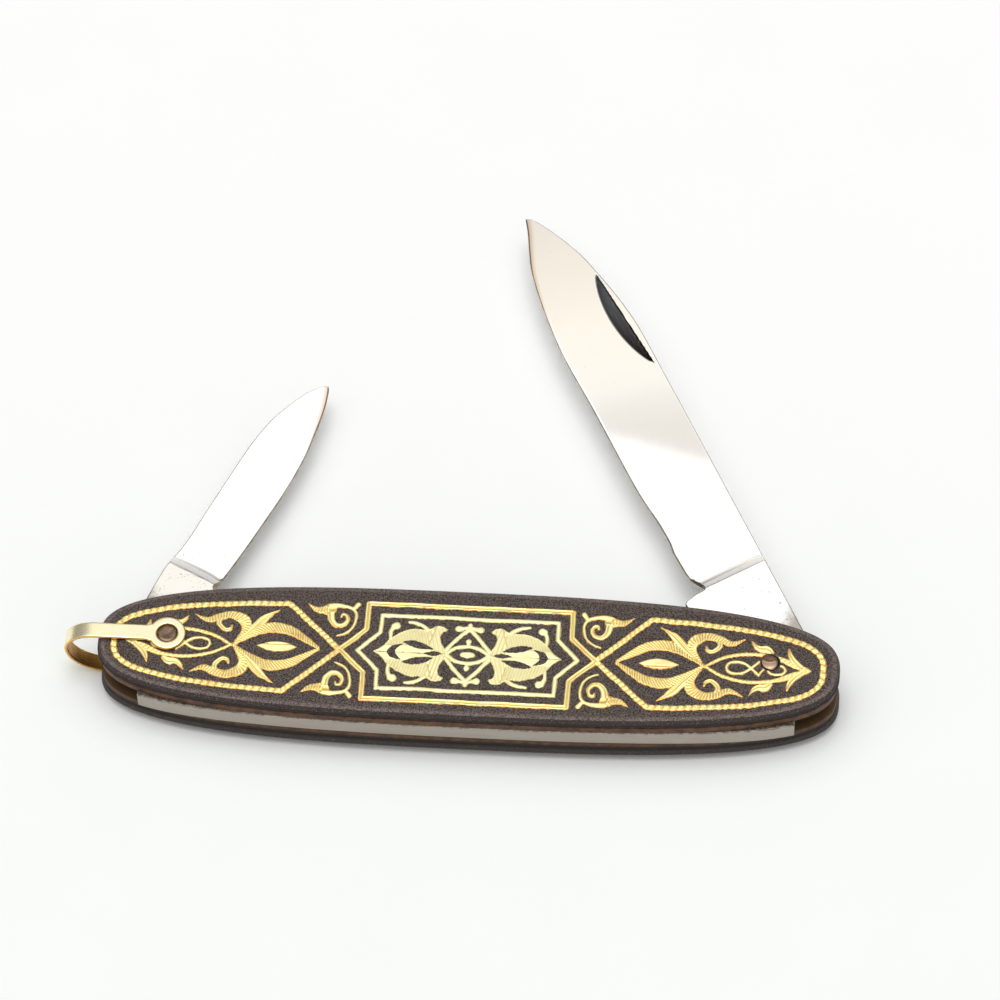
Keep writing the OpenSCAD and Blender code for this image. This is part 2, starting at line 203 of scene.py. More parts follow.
def keep_flats_flat(obj):
    """Shades large flat faces flat, and puts all the turning into the small faces beside them."""
    add_modifier(obj, "WEIGHTED_NORMAL", keep_sharp=True, weight=90)


def store(obj, name, kind, values):
    """Keeps one value per point on the mesh, for its material to read."""
    attribute = obj.data.attributes.new(name, kind, "POINT")
    field = "vector" if kind == "FLOAT_VECTOR" else "value"
    attribute.data.foreach_set(field, np.asarray(values, np.float32).ravel())


def on_the_back(obj, name):
    """The same piece on the other face."""
    mesh = obj.data.copy()
    mesh.transform(Matrix.Diagonal((1, 1, -1, 1)))
    mesh.flip_normals()
    twin = link(name, mesh)
    if obj.modifiers:
        keep_flats_flat(twin)
    return twin


def stacked_plate(name, rings, holes):
    """A plate from rings of points [(outline, z), ...], bottom one first, with round holes.

    The z of the rings between the first and the last may be one value per point.
    """
    def build(bm):
        def loop(outline, z):
            heights = np.broadcast_to(z, len(outline))
            return [bm.verts.new((x * MM, y * MM, h * MM)) for (x, y), h in zip(outline, heights)]

        def wall(lower, upper):
            for i in range(len(lower)):
                j = (i + 1) % len(lower)
                bm.faces.new((lower[i], lower[j], upper[j], upper[i]))

        loops = [loop(outline, z) for outline, z in rings]
        for lower, upper in zip(loops[:-1], loops[1:]):
            wall(lower, upper)
        ends = (rings[0][1], rings[-1][1])
        for hole in holes:
            wall(*[loop(hole[::-1], z) for z in ends])
        for z, up in zip(ends, (-1, 1)):
            rim = [e for e in bm.edges
                   if e.is_boundary and all(abs(v.co.z - z * MM) < 1e-8 for v in e.verts)]
            bmesh.ops.triangle_fill(bm, edges=rim, use_beauty=True, normal=(0, 0, up))
        face_outwards(bm)

    mesh = bpy.data.meshes.new(name)
    change(mesh, build)
    shade(mesh)
    obj = link(name, mesh)
    keep_flats_flat(obj)
    return obj


def rounded_edge(top, reach, drops, lean, steps=10):
    """Rings that turn a plate's side over into its top.

    drops is how far down the turn begins by the spring and by the blades. By the spring the side
    also leans in.
    """
    rings = []
    for k in range(steps + 1):
        a = math.pi / 2 * k / steps
        inset = reach * (1 - math.cos(a))
        outline = handle_outline(inset)
        share = ease(outline[:, 1] / HALF_WIDTH + 0.5)
        outline = handle_outline(inset + lean) * (1 - share)[:, None] + outline * share[:, None]
        drop = drops[0] + (drops[1] - drops[0]) * share
        rings.append((outline, top - drop * (1 - math.sin(a))))
    return rings


# ---------- flat shapes with a relief, on a fine grid ----------


class Relief:
    """How deep each point of a grid lies inside a flat shape, and how high the surface is there."""

    MARGIN = 0.3

    def __init__(self, half_x, half_y, cell, centre_y=0.0, wander=0.0, seed=1):
        self.cell = cell
        self.x = np.arange(-half_x, half_x + cell, cell)
        self.y = np.arange(-half_y, half_y + cell, cell)
        self.centre_y = centre_y
        grid = np.meshgrid(self.x, self.y, indexing="ij")
        self.px = grid[0] + wander * ripple(*grid, seed)
        self.py = grid[1] + wander * ripple(*grid, seed + 1)
        self.inside = np.full(self.px.shape, -1.0)
        self.height = np.zeros(self.px.shape)

    def window(self, points, margin):
        """The part of the grid that lies within margin of the points."""
        spans = []
        for line, low, high in zip((self.x, self.y), points.min(0) - margin, points.max(0) + margin):
            ends = (low - line[0]) // self.cell, (high - line[0]) // self.cell + 2
            spans.append(slice(*np.clip(ends, 0, len(line)).astype(int)))
        return tuple(spans)

    def add(self, place, inside, height):
        """Joins a shape to what is there. Where shapes overlap, the deeper one sets the surface."""
        deeper = inside > self.inside[place]
        self.height[place] = np.where(deeper, height, self.height[place])
        self.inside[place] = np.where(deeper, inside, self.inside[place])

    def measure(self, path):
        """The window round a tapered band, and each point's depth in it, run and offset along it."""
        margin = path[:, 2].max() + self.MARGIN
        place = self.window(path[:, :2], margin)
        i0, j0 = place[0].start, place[1].start
        shape = self.px[place].shape
        inside, along, across = np.full(shape, -1.0), np.zeros(shape), np.zeros(shape)
        run = 0.0
        for a, b in zip(path[:-1], path[1:]):
            near = self.window(np.array([a[:2], b[:2]]), margin)
            here = (slice(near[0].start - i0, near[0].stop - i0),
                    slice(near[1].start - j0, near[1].stop - j0))
            x, y = self.px[place][here] - a[0], self.py[place][here] - a[1]
            dx, dy = b[:2] - a[:2]
            length = math.hypot(dx, dy)
            t = np.clip((x * dx + y * dy) / length ** 2, 0, 1)
            depth = a[2] + t * (b[2] - a[2]) - np.hypot(x - t * dx, y - t * dy)
            better = depth > inside[here]
            inside[here] = np.where(better, depth, inside[here])
            along[here] = np.where(better, run + t * length, along[here])
            across[here] = np.where(better, (x * dy - y * dx) / length, across[here])
            run += length
        return place, inside, along, across

    def stroke(self, path, surface, edge=None):
        """A tapered band along [x, y, half width] points. edge(run) moves its sides in or out."""
        place, inside, along, across = self.measure(path)
        if edge:
            inside = np.where(inside > -0.5, inside + edge(along), inside)
        self.add(place, inside, surface(inside, along, across))

    def outline(self, points, surface):
        """A filled outline. Its surface reads x and y in place of a run and an offset."""
        place = self.window(points, self.MARGIN)
        x, y = self.px[place], self.py[place]
        nearest = np.full(x.shape, 9.0)
        within = np.zeros(x.shape, bool)
        for a, b in zip(points, np.roll(points, -1, axis=0)):
            dx, dy = b - a
            t = np.clip(((x - a[0]) * dx + (y - a[1]) * dy) / (dx * dx + dy * dy + 1e-12), 0, 1)
            nearest = np.minimum(nearest, np.hypot(x - a[0] - t * dx, y - a[1] - t * dy))
            crosses = (a[1] > y) != (b[1] > y)
            within ^= crosses & (x < a[0] + (y - a[1]) * dx / np.where(dy == 0, 1e-12, dy))
        inside = np.where(within, nearest, -nearest)
        self.add(place, inside, surface(inside, x, y))

    def carve(self, path):
        """Cuts a tapered slit out of the shape."""
        place, inside, _, _ = self.measure(path)
        self.inside[place] = np.minimum(self.inside[place], -inside)

    def pierce(self, x, y, radius):
        """Cuts a round hole out of the shape."""
        self.inside = np.minimum(self.inside, np.hypot(self.px - x, self.py - y) - radius)

    def ragged(self, size, seed):
        """Makes the edges slightly uneven, as hand work is."""
        rng = np.random.default_rng(seed)
        coarse = rng.uniform(-1, 1, (len(self.x) // 4 + 2, len(self.y) // 4 + 2))
        i, j = np.arange(len(self.x)) / 4, np.arange(len(self.y)) / 4
        i0, j0 = i.astype(int), j.astype(int)
        fi, fj = (i - i0)[:, None], (j - j0)[None, :]
        lower, upper = [row[:, j0] * (1 - fj) + row[:, j0 + 1] * fj for row in (coarse[i0], coarse[i0 + 1])]
        self.inside = self.inside + size * (lower * (1 - fi) + upper * fi)

    def solid(self, name, top, bottom):
        """A closed mesh between two surfaces, given as heights on the grid, inside the shape."""
        least = 0.1 * self.cell
        value = np.where(np.abs(self.inside) < least, least * np.sign(self.inside + 1e-9), self.inside)
        nx, ny = value.shape
        i, j = np.meshgrid(np.arange(nx - 1), np.arange(ny - 1), indexing="ij")
        corner = [i * ny + j, (i + 1) * ny + j, (i + 1) * ny + j + 1, i * ny + j + 1]
        count = nx * ny
        side = [count + corner[0], 2 * count + corner[1], count + corner[3], 2 * count + corner[0]]
        ids = [c.ravel() for c in corner + side]
        flags = [value.ravel()[c] > 0 for c in ids[:4]]
        case = sum(flag.astype(int) << k for k, flag in enumerate(flags))
        polygons, edges = [], []
        for number in range(1, 16):
            cells = np.nonzero(case == number)[0]
            if not len(cells):
                continue
            walk = []
            for k in range(4):
                here, there = number >> k & 1, number >> (k + 1) % 4 & 1
                if here:
                    walk.append(k)
                if here != there:
                    walk.append(4 + k)
            polygons.append(np.column_stack([ids[w][cells] for w in walk]))
            for w, after in zip(walk, walk[1:] + walk[:1]):
                if w >= 4 and after >= 4:
                    edges.append(np.column_stack([ids[w][cells], ids[after][cells]]))
        used = np.unique(np.concatenate([p.ravel() for p in polygons]))
        kind, base = used // count, used % count
        ends = base + np.where(kind == 1, ny, np.where(kind == 2, 1, 0))
        flat = value.ravel()
        share = np.where(kind > 0, flat[base] / np.where(kind > 0, flat[base] - flat[ends], 1), 0)

        def sample(grid):
            g = grid.ravel()
            return g[base] * (1 - share) + g[ends] * share

        gx, gy = np.meshgrid(self.x, self.y, indexing="ij")
        x, y = sample(gx), sample(gy) + self.centre_y
        upper = np.column_stack([x, y, sample(top)])
        lower = np.column_stack([x, y, sample(bottom)])
        n = len(used)
        faces = []
        for polygon in polygons:
            polygon = np.searchsorted(used, polygon)
            faces += polygon.tolist() + (polygon[:, ::-1] + n).tolist()
        a, b = np.searchsorted(used, np.vstack(edges)).T
        faces += np.column_stack([a, a + n, b + n, b]).tolist()
        obj = make_object(name, np.vstack([upper, lower]), faces, sharp_degrees=50)
        store(obj, "relief", "FLOAT", np.concatenate([sample(self.height), np.zeros(n)]))
        return obj


# ---------- the surfaces that a chasing tool leaves ----------

CROWN = 0.1


def wave(x):
    """A wave between 0 and 1 that repeats every 1."""
    return 0.5 + 0.5 * np.cos(2 * math.pi * x)


def crown(inside):
    return ease(inside / CROWN)


def plain(inside, along, across):
    return crown(inside)


def hatched(pitch, slant):
    """Slanting cuts across a band."""
    def surface(inside, along, across):
        return crown(inside) * (1 - 0.75 * wave((along + slant * across) / pitch) ** 1.5)
    return surface


def roped(pitch, depth=0.45):
    """A line of slanting bumps, like a twisted cord."""
    def surface(inside, along, across):
        twist = wave((along + 0.5 * across) / pitch)
        fine = wave((along - 0.4 * across) / (pitch / 2.6))
        return crown(inside) * (1 - depth * twist ** 3) * (1 - 0.25 * fine)
    return surface


def rope_edge(pitch, depth):
    """The small nicks that the bumps leave along both sides."""
    def edge(along):
        return -depth * wave(along / pitch) ** 3
    return edge


def grooved(width=0.08, offset=0.0):
    """One cut along the middle of a band."""
    def surface(inside, along, across):
        return crown(inside) * (1 - 0.7 * np.exp(-((across - offset) / width) ** 2))
    return surface


def creased(inside, along, across):
    """A leaf: smooth on one side of its rib, finely cut along the other."""
    rib = np.exp(-(across / 0.06) ** 2)
    return crown(inside) * (1 - 0.6 * rib) * (1 - 0.5 * wave(across / 0.2) * (across > 0))


# ---------- the ornament, drawn for one corner of the face ----------

CROSS_X = 13.8
CROSSING_X = 25.4
BORDER_HALF = 0.345
PANEL_HALF = 0.32
INNER_HALF = 0.25


def widened(points, half):
    return [[x, y, half] for x, y in points]


def border_marks():
    frame_x, frame_end, frame_y, power = 19.6, 38.2, 5.78, 3.1
    start = math.acos((frame_x / frame_end) ** (power / 2))
    bend = oval(frame_end, frame_y, np.linspace(start, 0, 40), power)
    return [
        (np.array(widened([[CROSS_X, 0], bend[0]], BORDER_HALF)), roped(0.62), rope_edge(0.62, 0.05)),
        (np.array(widened(bend, BORDER_HALF)), roped(0.8, 0.6), rope_edge(0.8, 0.06)),
    ]


def panel_marks(point_x, notch, corner, half, surface):
    return [(np.array(widened([[point_x, 0], notch, corner, [0, corner[1]]], half)), surface)]


# Each mark is a band through [x, y, half width] points, and the surface that its tool leaves.
LEAF_MARKS = [
    ([[CROSSING_X, -0.05, 0.18], [23.6, 1.3, 0.38], [21.6, 2.35, 0.64], [19.4, 2.15, 0.6],
      [17.7, 1.15, 0.42], [16.1, 0.1, 0.2]], hatched(0.33, -0.7)),
    ([[CROSSING_X - 0.3, 0.35, 0.14], [23.6, 1.75, 0.5], [22.3, 3.3, 0.5],
      [21.4, 4.05, 0.24], [20.6, 4.6, 0.06]], creased),
    ([[CROSSING_X - 0.3, 0.4, 0.15], [24.1, 1.9, 0.48], [24.3, 3.1, 0.66], [25.7, 3.75, 0.5],
      [27.1, 3.45, 0.46], [28.3, 3.0, 0.34], [29.7, 3.6, 0.06]], hatched(0.31, 0.25)),
    ([[26.9, 3.45, 0.3], [27.05, 2.6, 0.3], [26.35, 1.85, 0.27], [25.75, 1.95, 0.22],
      [25.6, 2.4, 0.14]], grooved(0.05)),
    ([[18.45, 0, 0.05], [19.5, 0, 0.5], [20.6, 0, 0.68], [21.7, 0, 0.48], [22.75, 0, 0.05]],
     grooved(0.05, 0.3)),
]

FINIAL_MARKS = [
    ([[CROSSING_X + 0.1, -0.04, 0.18], [27.4, 1.1, 0.22], [30, 1.72, 0.23],
      [32.8, 1.55, 0.25], [35.2, 0.6, 0.42], [36.9, 0, 0.12]], roped(0.5, 0.25)),
    ([[35.9, 0.3, 0.36], [35.15, 1.0, 0.38], [34.65, 1.8, 0.3], [34.45, 2.6, 0.1]],
     grooved(0.06)),
    ([[32.65, 2.0, 0.26], [32.1, 2.42, 0.48], [31.4, 2.42, 0.4], [30.85, 2.75, 0.27],
      [30.42, 3.4, 0.07]], grooved(0.07, 0.1)),
    ([[31.35, 0.85, 0.16], [30.5, 0, 0.2], [29.7, -0.58, 0.19], [28.8, -0.72, 0.18],
      [28.05, -0.5, 0.18], [27.8, 0, 0.18]], plain),
]

# The broken loop beside each pin, which isn't mirrored about the centre line.
HOOK_MARKS = [
    ([[31.35, -0.88, 0.16], [31.55, -0.5, 0.15], [31.85, -0.1, 0.15]], plain),
    ([[32.3, -0.25, 0.15], [32.6, -0.62, 0.17], [33.2, -0.72, 0.18], [33.85, -0.58, 0.18],
      [34.15, -0.15, 0.18], [33.85, 0.35, 0.17], [33.2, 0.5, 0.15]], plain),
]

SCROLL_MARKS = [
    ([[15.2, 4.95, 0.72], [15.8, 4.88, 0.52], [16.45, 4.88, 0.38], [17.05, 5.15, 0.24],
      [17.62, 5.62, 0.05]], hatched(0.3, 0.3)),
    ([[15.2, 5.0, 0.5], [15.05, 4.35, 0.42], [14.9, 3.6, 0.38], [14.35, 2.98, 0.31],
      [13.65, 3.05, 0.27], [13.2, 3.65, 0.24], [13.38, 4.3, 0.21], [13.8, 4.4, 0.19],
      [13.9, 4.1, 0.14]], grooved(0.06, 0.12)),
    ([[15.2, 5.3, 0.4], [14.5, 5.5, 0.32], [13.7, 5.45, 0.25], [12.85, 5.2, 0.22],
      [12.35, 4.5, 0.19], [12.4, 3.4, 0.18], [12.75, 2.55, 0.17], [13.45, 1.95, 0.16],
      [14.2, 1.66, 0.12]], plain),
    (np.array([[12.25, 5.78, 0.3], [12.65, 5.2, 0.24]]), plain),
]


def tulip_outline():
    outer = smooth([[10.2, 0], [9.3, 0.65], [8.5, 1.65], [7.4, 2.5], [6, 3], [4.75, 2.95], [4.1, 3.2],
                    [3.7, 3.45], [3.2, 3.55], [2.7, 3.4], [2.4, 3.12]])
    inner = smooth([[2.5, 2.9], [2.86, 2.72], [3.04, 2.1], [2.85, 1.3], [2.4, 0.5], [2.15, 0]])
    return np.vstack([outer, inner])


def tulip_surface(inside, x, y):
    """Cuts across the petal's outer half, and curved lines down the leaf beside the stem."""
    out, off = np.abs(x), np.abs(y)
    across_petal = 0.55 * wave((x + 0.25 * off) / 0.32)
    down_leaf = 0.45 * wave((out - 0.25 * off) / 0.42) * (out < 4.2)
    cuts = np.where((out > 4.2) & (off > 0.9), across_petal, down_leaf)
    seam = np.exp(-((out - 4.2 + 0.3 * (off - 1.5)) / 0.07) ** 2) * (off > 1.2)
    return crown(inside) * (1 - cuts * (inside > 0.12)) * (1 - 0.7 * seam)


SLIT_MARKS = [
    [[6.9, 1.25, 0.06], [6.2, 1.15, 0.34], [5.35, 0.98, 0.44], [4.5, 0.76, 0.3],
     [3.75, 0.57, 0.05]],
    [[7.15, 0.95, 0.06], [7.65, 0.72, 0.2], [8.05, 0.4, 0.36], [8.22, 0, 0.44]],
    [[4.75, 0, 0.05], [3.7, 0, 0.3], [2.7, 0, 0.05]],
]

CENTRE_MARKS = [
    ([[8.4, 1.6, 0.22], [8.45, 2.5, 0.24], [8.2, 3.1, 0.3]], plain),
    ([[8.1, 3.25, 0.4], [7.85, 3.32, 0.45]], plain),
    ([[4.4, 2.9, 0.24], [5.0, 3.4, 0.25], [5.7, 3.68, 0.23], [6.5, 3.8, 0.18]], plain),
    ([[2.4, 0.45, 0.26], [1.2, 2, 0.26], [-0.1, 3.35, 0.26]], plain),
    ([[2.3, 0, 0.24], [1.3, 0.8, 0.24], [-0.05, 1.07, 0.24]], plain),
    ([[0, 3.45, 0.24], [0.7, 3.3, 0.24], [1.2, 3.22, 0.42]], plain),
    (np.array([[0, 1.3, 0.24], [0, 1.62, 0.36]]), plain),
    (np.array([[0, 3.4, 0.26], [0, 3.72, 0.3]]), plain),
    ([[-0.55, 0, 0.3], [0, 0, 0.4], [0.55, 0, 0.3]], plain),
]

QUARTERS = [(1, 1), (1, -1), (-1, 1), (-1, -1)]
CELL = 0.06
INLAY_WANDER = 0.035
INLAY_RAGGED = 0.055
INLAY_PIN_GAP = 0.12
GOLD_SUNK = 0.06
GOLD_EDGE = 0.02


def inlay(name, half_x, half_y, marks, seed, fills=(), slits=(), halves=()):
    """One set of gold shapes: the corner's marks repeated in all four, raised on the front face."""
    relief = Relief(half_x, half_y, CELL, (BORDER_LOW.y + BORDER_HIGH.y) / 2, INLAY_WANDER, seed)
    for sx, sy in QUARTERS:
        for points, surface in fills:
            relief.outline(points * [sx, sy], surface)
    for sx, sy in QUARTERS:
        for path in slits:
            relief.carve(path * [sx, sy, 1])
        for path, *finish in marks:
            relief.stroke(path * [sx, sy, 1], *finish)
    for path, surface in halves:
        relief.stroke(path, surface)
        relief.stroke(path * [-1, 1, 1], surface)
    for pivot, radius in ((LARGE_PIVOT, LARGE_PIN_RADIUS), (SMALL_PIVOT, SMALL_PIN_RADIUS)):
        relief.pierce(pivot.x, pivot.y - relief.centre_y, radius + INLAY_PIN_GAP)
    relief.ragged(INLAY_RAGGED, seed + 40)
    top = FACE_Z + GOLD_EDGE + (BORDER_HIGH.z - FACE_Z - GOLD_EDGE) * relief.height
    bottom = np.full_like(top, FACE_Z - GOLD_SUNK)
    return relief.solid(name, top, bottom)


def curved(marks):
    """The marks with each list of points made a curve. An array of points stays as it is."""
    return [(smooth(points) if isinstance(points, list) else points, finish)
            for points, finish in marks]


def all_inlays():
    """The seven sets of gold on the front, each with its kind."""
    outer = panel_marks(CROSS_X, [11.1, 2.7], [11.02, 5.98], PANEL_HALF, grooved(0.09))
    inner = panel_marks(11.85, [9.6, 2.37], [9.53, 4.57], INNER_HALF, plain)
    sets = [
        ("border_inlay", 39.2, 6.6, border_marks(), 3, {}),
        ("panel_inlay", 14.6, 6.6, outer, 5, {}),
        ("inner_panel_inlay", 12.6, 5.2, inner, 7, {}),
        ("centre_inlay", 10.8, 4.4, curved(CENTRE_MARKS), 9,
         {"fills": [(tulip_outline(), tulip_surface)],
          "slits": [smooth(points) for points in SLIT_MARKS]}),
        ("leaf_inlay", 30.2, 5.2, curved(LEAF_MARKS), 11, {}),
        ("finial_inlay", 37.4, 4, curved(FINIAL_MARKS), 13, {"halves": curved(HOOK_MARKS)}),
        ("scroll_inlay", 18, 6.6, curved(SCROLL_MARKS), 15, {}),
    ]
    return [(kind, inlay(kind, *basics, **extras)) for kind, *basics, extras in sets]


# ---------- plates of the handle ----------

SCALE_ROUND = 0.95
SCALE_DROPS = (0.2, 0.62)
SCALE_CHAMFER = 0.42
SCALE_UNDERCUT = 0.8
SCALE_LEAN = 0.38
LINER_BEVEL = 0.08


def pin_holes(gap):
    return [circle(LARGE_PIVOT, LARGE_PIN_RADIUS + gap), circle(SMALL_PIVOT, SMALL_PIN_RADIUS + gap)]


def scale_plate():
    rings = [(handle_outline(SCALE_CHAMFER + 0.1), SCALE_LOW.z), (handle_outline(SCALE_CHAMFER), SCALE_LOW.z),
             (handle_outline(0.04), SCALE_LOW.z + 0.85 * SCALE_UNDERCUT),
             (handle_outline(0), SCALE_LOW.z + SCALE_UNDERCUT)]
    rings += rounded_edge(FACE_Z, SCALE_ROUND, SCALE_DROPS, SCALE_LEAN)
    rings.append((handle_outline(SCALE_ROUND + SCALE_LEAN + 0.1), FACE_Z))
    return stacked_plate("front_scale_plate", rings, pin_holes(PIN_GAP))


def liner_plate():
    side = handle_outline(HALF_LENGTH - LINER_HIGH.x)
    rim = handle_outline(HALF_LENGTH - LINER_HIGH.x + LINER_BEVEL)
    rings = [(rim, LINER_LOW.z), (side, LINER_LOW.z + LINER_BEVEL),
             (side, LINER_HIGH.z - LINER_BEVEL), (rim, LINER_HIGH.z)]
    return stacked_plate("front_liner_plate", rings, pin_holes(PIN_GAP))


# ---------- blades ----------

# Places along each blade run from its pivot, with the spine at -v and the cutting edge at +v.
LARGE_BLADE = {
    "spine": [[4.4, -5.65], [20, -5.66], [40, -5.66], [46.6, -5.64], [50, -5.41], [53, -4.99],
              [56.5, -4.32], [58.87, -3.78], [61.5, -2.85], [63.6, -1.95], [65.2, -1.12],
              [65.9, -0.6], [66.15, -0.25], [66.2, 0]],
    "choil": [[11.6, 4.56], [12.07, 4.57], [12.24, 4.31], [12.6, 3.0], [12.7, 2.2], [13.0, 1.79],
              [13.5, 1.82], [14.1, 2.21], [14.8, 2.68], [15.7, 2.89]],
    "edge": [[15.7, 2.89], [18.6, 3.0], [20.2, 2.86], [23.1, 2.95], [28.2, 3.36], [39.5, 3.44],
             [47.4, 3.57], [53.4, 3.15], [58.9, 2.33], [62.0, 1.38], [64.2, 0.58], [66.2, 0]],
    "plunge": [[13.02, 1.72], [13.3, -1.6], [13.56, -5.04]],
    "nick": {"lip": [[42.3, -5.2], [55.9, -4.2]], "belly": 1.62, "depth": 0.32},
    "shoulder": 3.15,
    "run_out": 1.3,
    "heel": [13.0, 15.3],
    "grind": [3.3, 38],
}
SMALL_BLADE = {
    "spine": [[3.4, -5.5], [8.25, -5.56], [10.3, -5.45], [12.3, -5.1], [14.7, -4.88], [18.7, -4.76],
              [26.2, -4.43], [29.65, -4.1], [32.5, -3.5], [36, -2.15], [37.6, -1.15],
              [38.25, -0.5], [38.5, 0]],
    "choil": [[7.4, 4.68], [7.8, 4.7], [8.3, 4.3], [8.6, 2.2], [9, 0.8], [9.5, 0.45], [9.9, 0.42]],
    "edge": [[9.9, 0.42], [11.2, 0.9], [15.2, 1.33], [20.1, 1.68], [24.5, 1.92], [29, 1.85], [32.3, 1.48],
             [35.5, 0.98], [37.8, 0.36], [38.5, 0]],
    "plunge": [[9.8, 0.4], [10.0, -0.4], [10.15, -1.79], [10.3, -3.76], [10.4, -5.4]],
    "nick": {"lip": [[21.4, -4.1], [30.6, -3.4]], "belly": 1.3, "depth": 0.3},
    "shoulder": 3.15,
    "run_out": 1.5,
    "heel": [9.4, 11.4],
    "grind": [1.7, 22],
}
TANG_RADIUS = 4.15
EDGE_HALF = 0.05
BEVEL_WIDTH = 0.14
BEVEL_HALF = 0.13
GRIND_SLOPE = 0.04
SPINE_ROUND = 0.12


def blade_length(spec):
    return spec["edge"][-1][0]


def blade_profile(spec, u):
    """The spine's and the edge's v at each u."""
    spine, choil, edge = smooth(spec["spine"], 8), np.array(spec["choil"], float), smooth(spec["edge"], 8)
    lower = np.vstack([[[0, TANG_RADIUS]], choil, edge[1:]])
    round_v = np.sqrt(np.maximum(TANG_RADIUS ** 2 - u ** 2, 0))
    top = np.where(u < spec["shoulder"], -round_v, np.interp(u, spine[:, 0], spine[:, 1]))
    bottom = np.where(u < 0, round_v, np.interp(u, lower[:, 0], lower[:, 1]))
    return top, bottom


def blade_half_thickness(spec, u, v, top, bottom, half):
    """Half the blade's thickness: full in the tang, and a flat grind down to the edge past the plunge."""
    width = np.maximum(bottom - top, 1e-6)
    line = np.array(spec["plunge"], float)
    line = line[np.argsort(line[:, 1])]
    past = np.clip((u - np.interp(v, line[:, 1], line[:, 0])) / spec["run_out"], 0, 1)
    past = 1 - (1 - past) ** 3
    flat, turn = spec["grind"]
    datum = flat * (1 - np.clip((u - turn) / (blade_length(spec) - turn), 0, 1) ** 2)
    ground = np.minimum(BEVEL_HALF + GRIND_SLOPE * (datum - v), half)
    heel = np.clip((u - spec["heel"][0]) / (spec["heel"][1] - spec["heel"][0]), 0, 1)
    edge_half = half + (EDGE_HALF - half) * heel ** 1.1
    to_edge = np.clip((bottom - v) / np.minimum(BEVEL_WIDTH, 0.3 * width), 0, 1)
    bevel = edge_half + (np.maximum(ground, edge_half) - edge_half) * to_edge
    ground = np.where(to_edge < 1, np.minimum(bevel, np.maximum(ground, edge_half)), ground)
    thickness = half + (ground - half) * past
    for distance in (v - top, np.where(heel < 0.3, bottom - v, 9)):
        d = np.clip(distance, 0, SPINE_ROUND)
        round_off = SPINE_ROUND - np.sqrt(np.maximum(SPINE_ROUND ** 2 - (SPINE_ROUND - d) ** 2, 0))
        thickness = thickness - round_off
    return np.maximum(thickness, 0.5 * EDGE_HALF), past


def nick_depth(spec, u, v):
    """A crescent pocket: steep at its straight lip, and rising gently towards the belly."""
    (u0, v0), (u1, v1) = spec["nick"]["lip"]
    chord = np.array([u1 - u0, v1 - v0])
    length = np.hypot(*chord)
    ax, ay = chord / length
    s = ((u - u0) * ax + (v - v0) * ay) / length
    d = -(u - u0) * ay + (v - v0) * ax
    reach = spec["nick"]["belly"] * np.maximum(4 * s * (1 - s), 0) ** 0.8
    inside = (s > 0) & (s < 1) & (d > 0) & (d < reach)
    lip = np.clip(d / 0.07, 0, 1)
    rise = np.clip((reach - d) / np.maximum(reach, 1e-6), 0, 1) ** 0.6
    return np.where(inside, spec["nick"]["depth"] * lip * rise, 0)


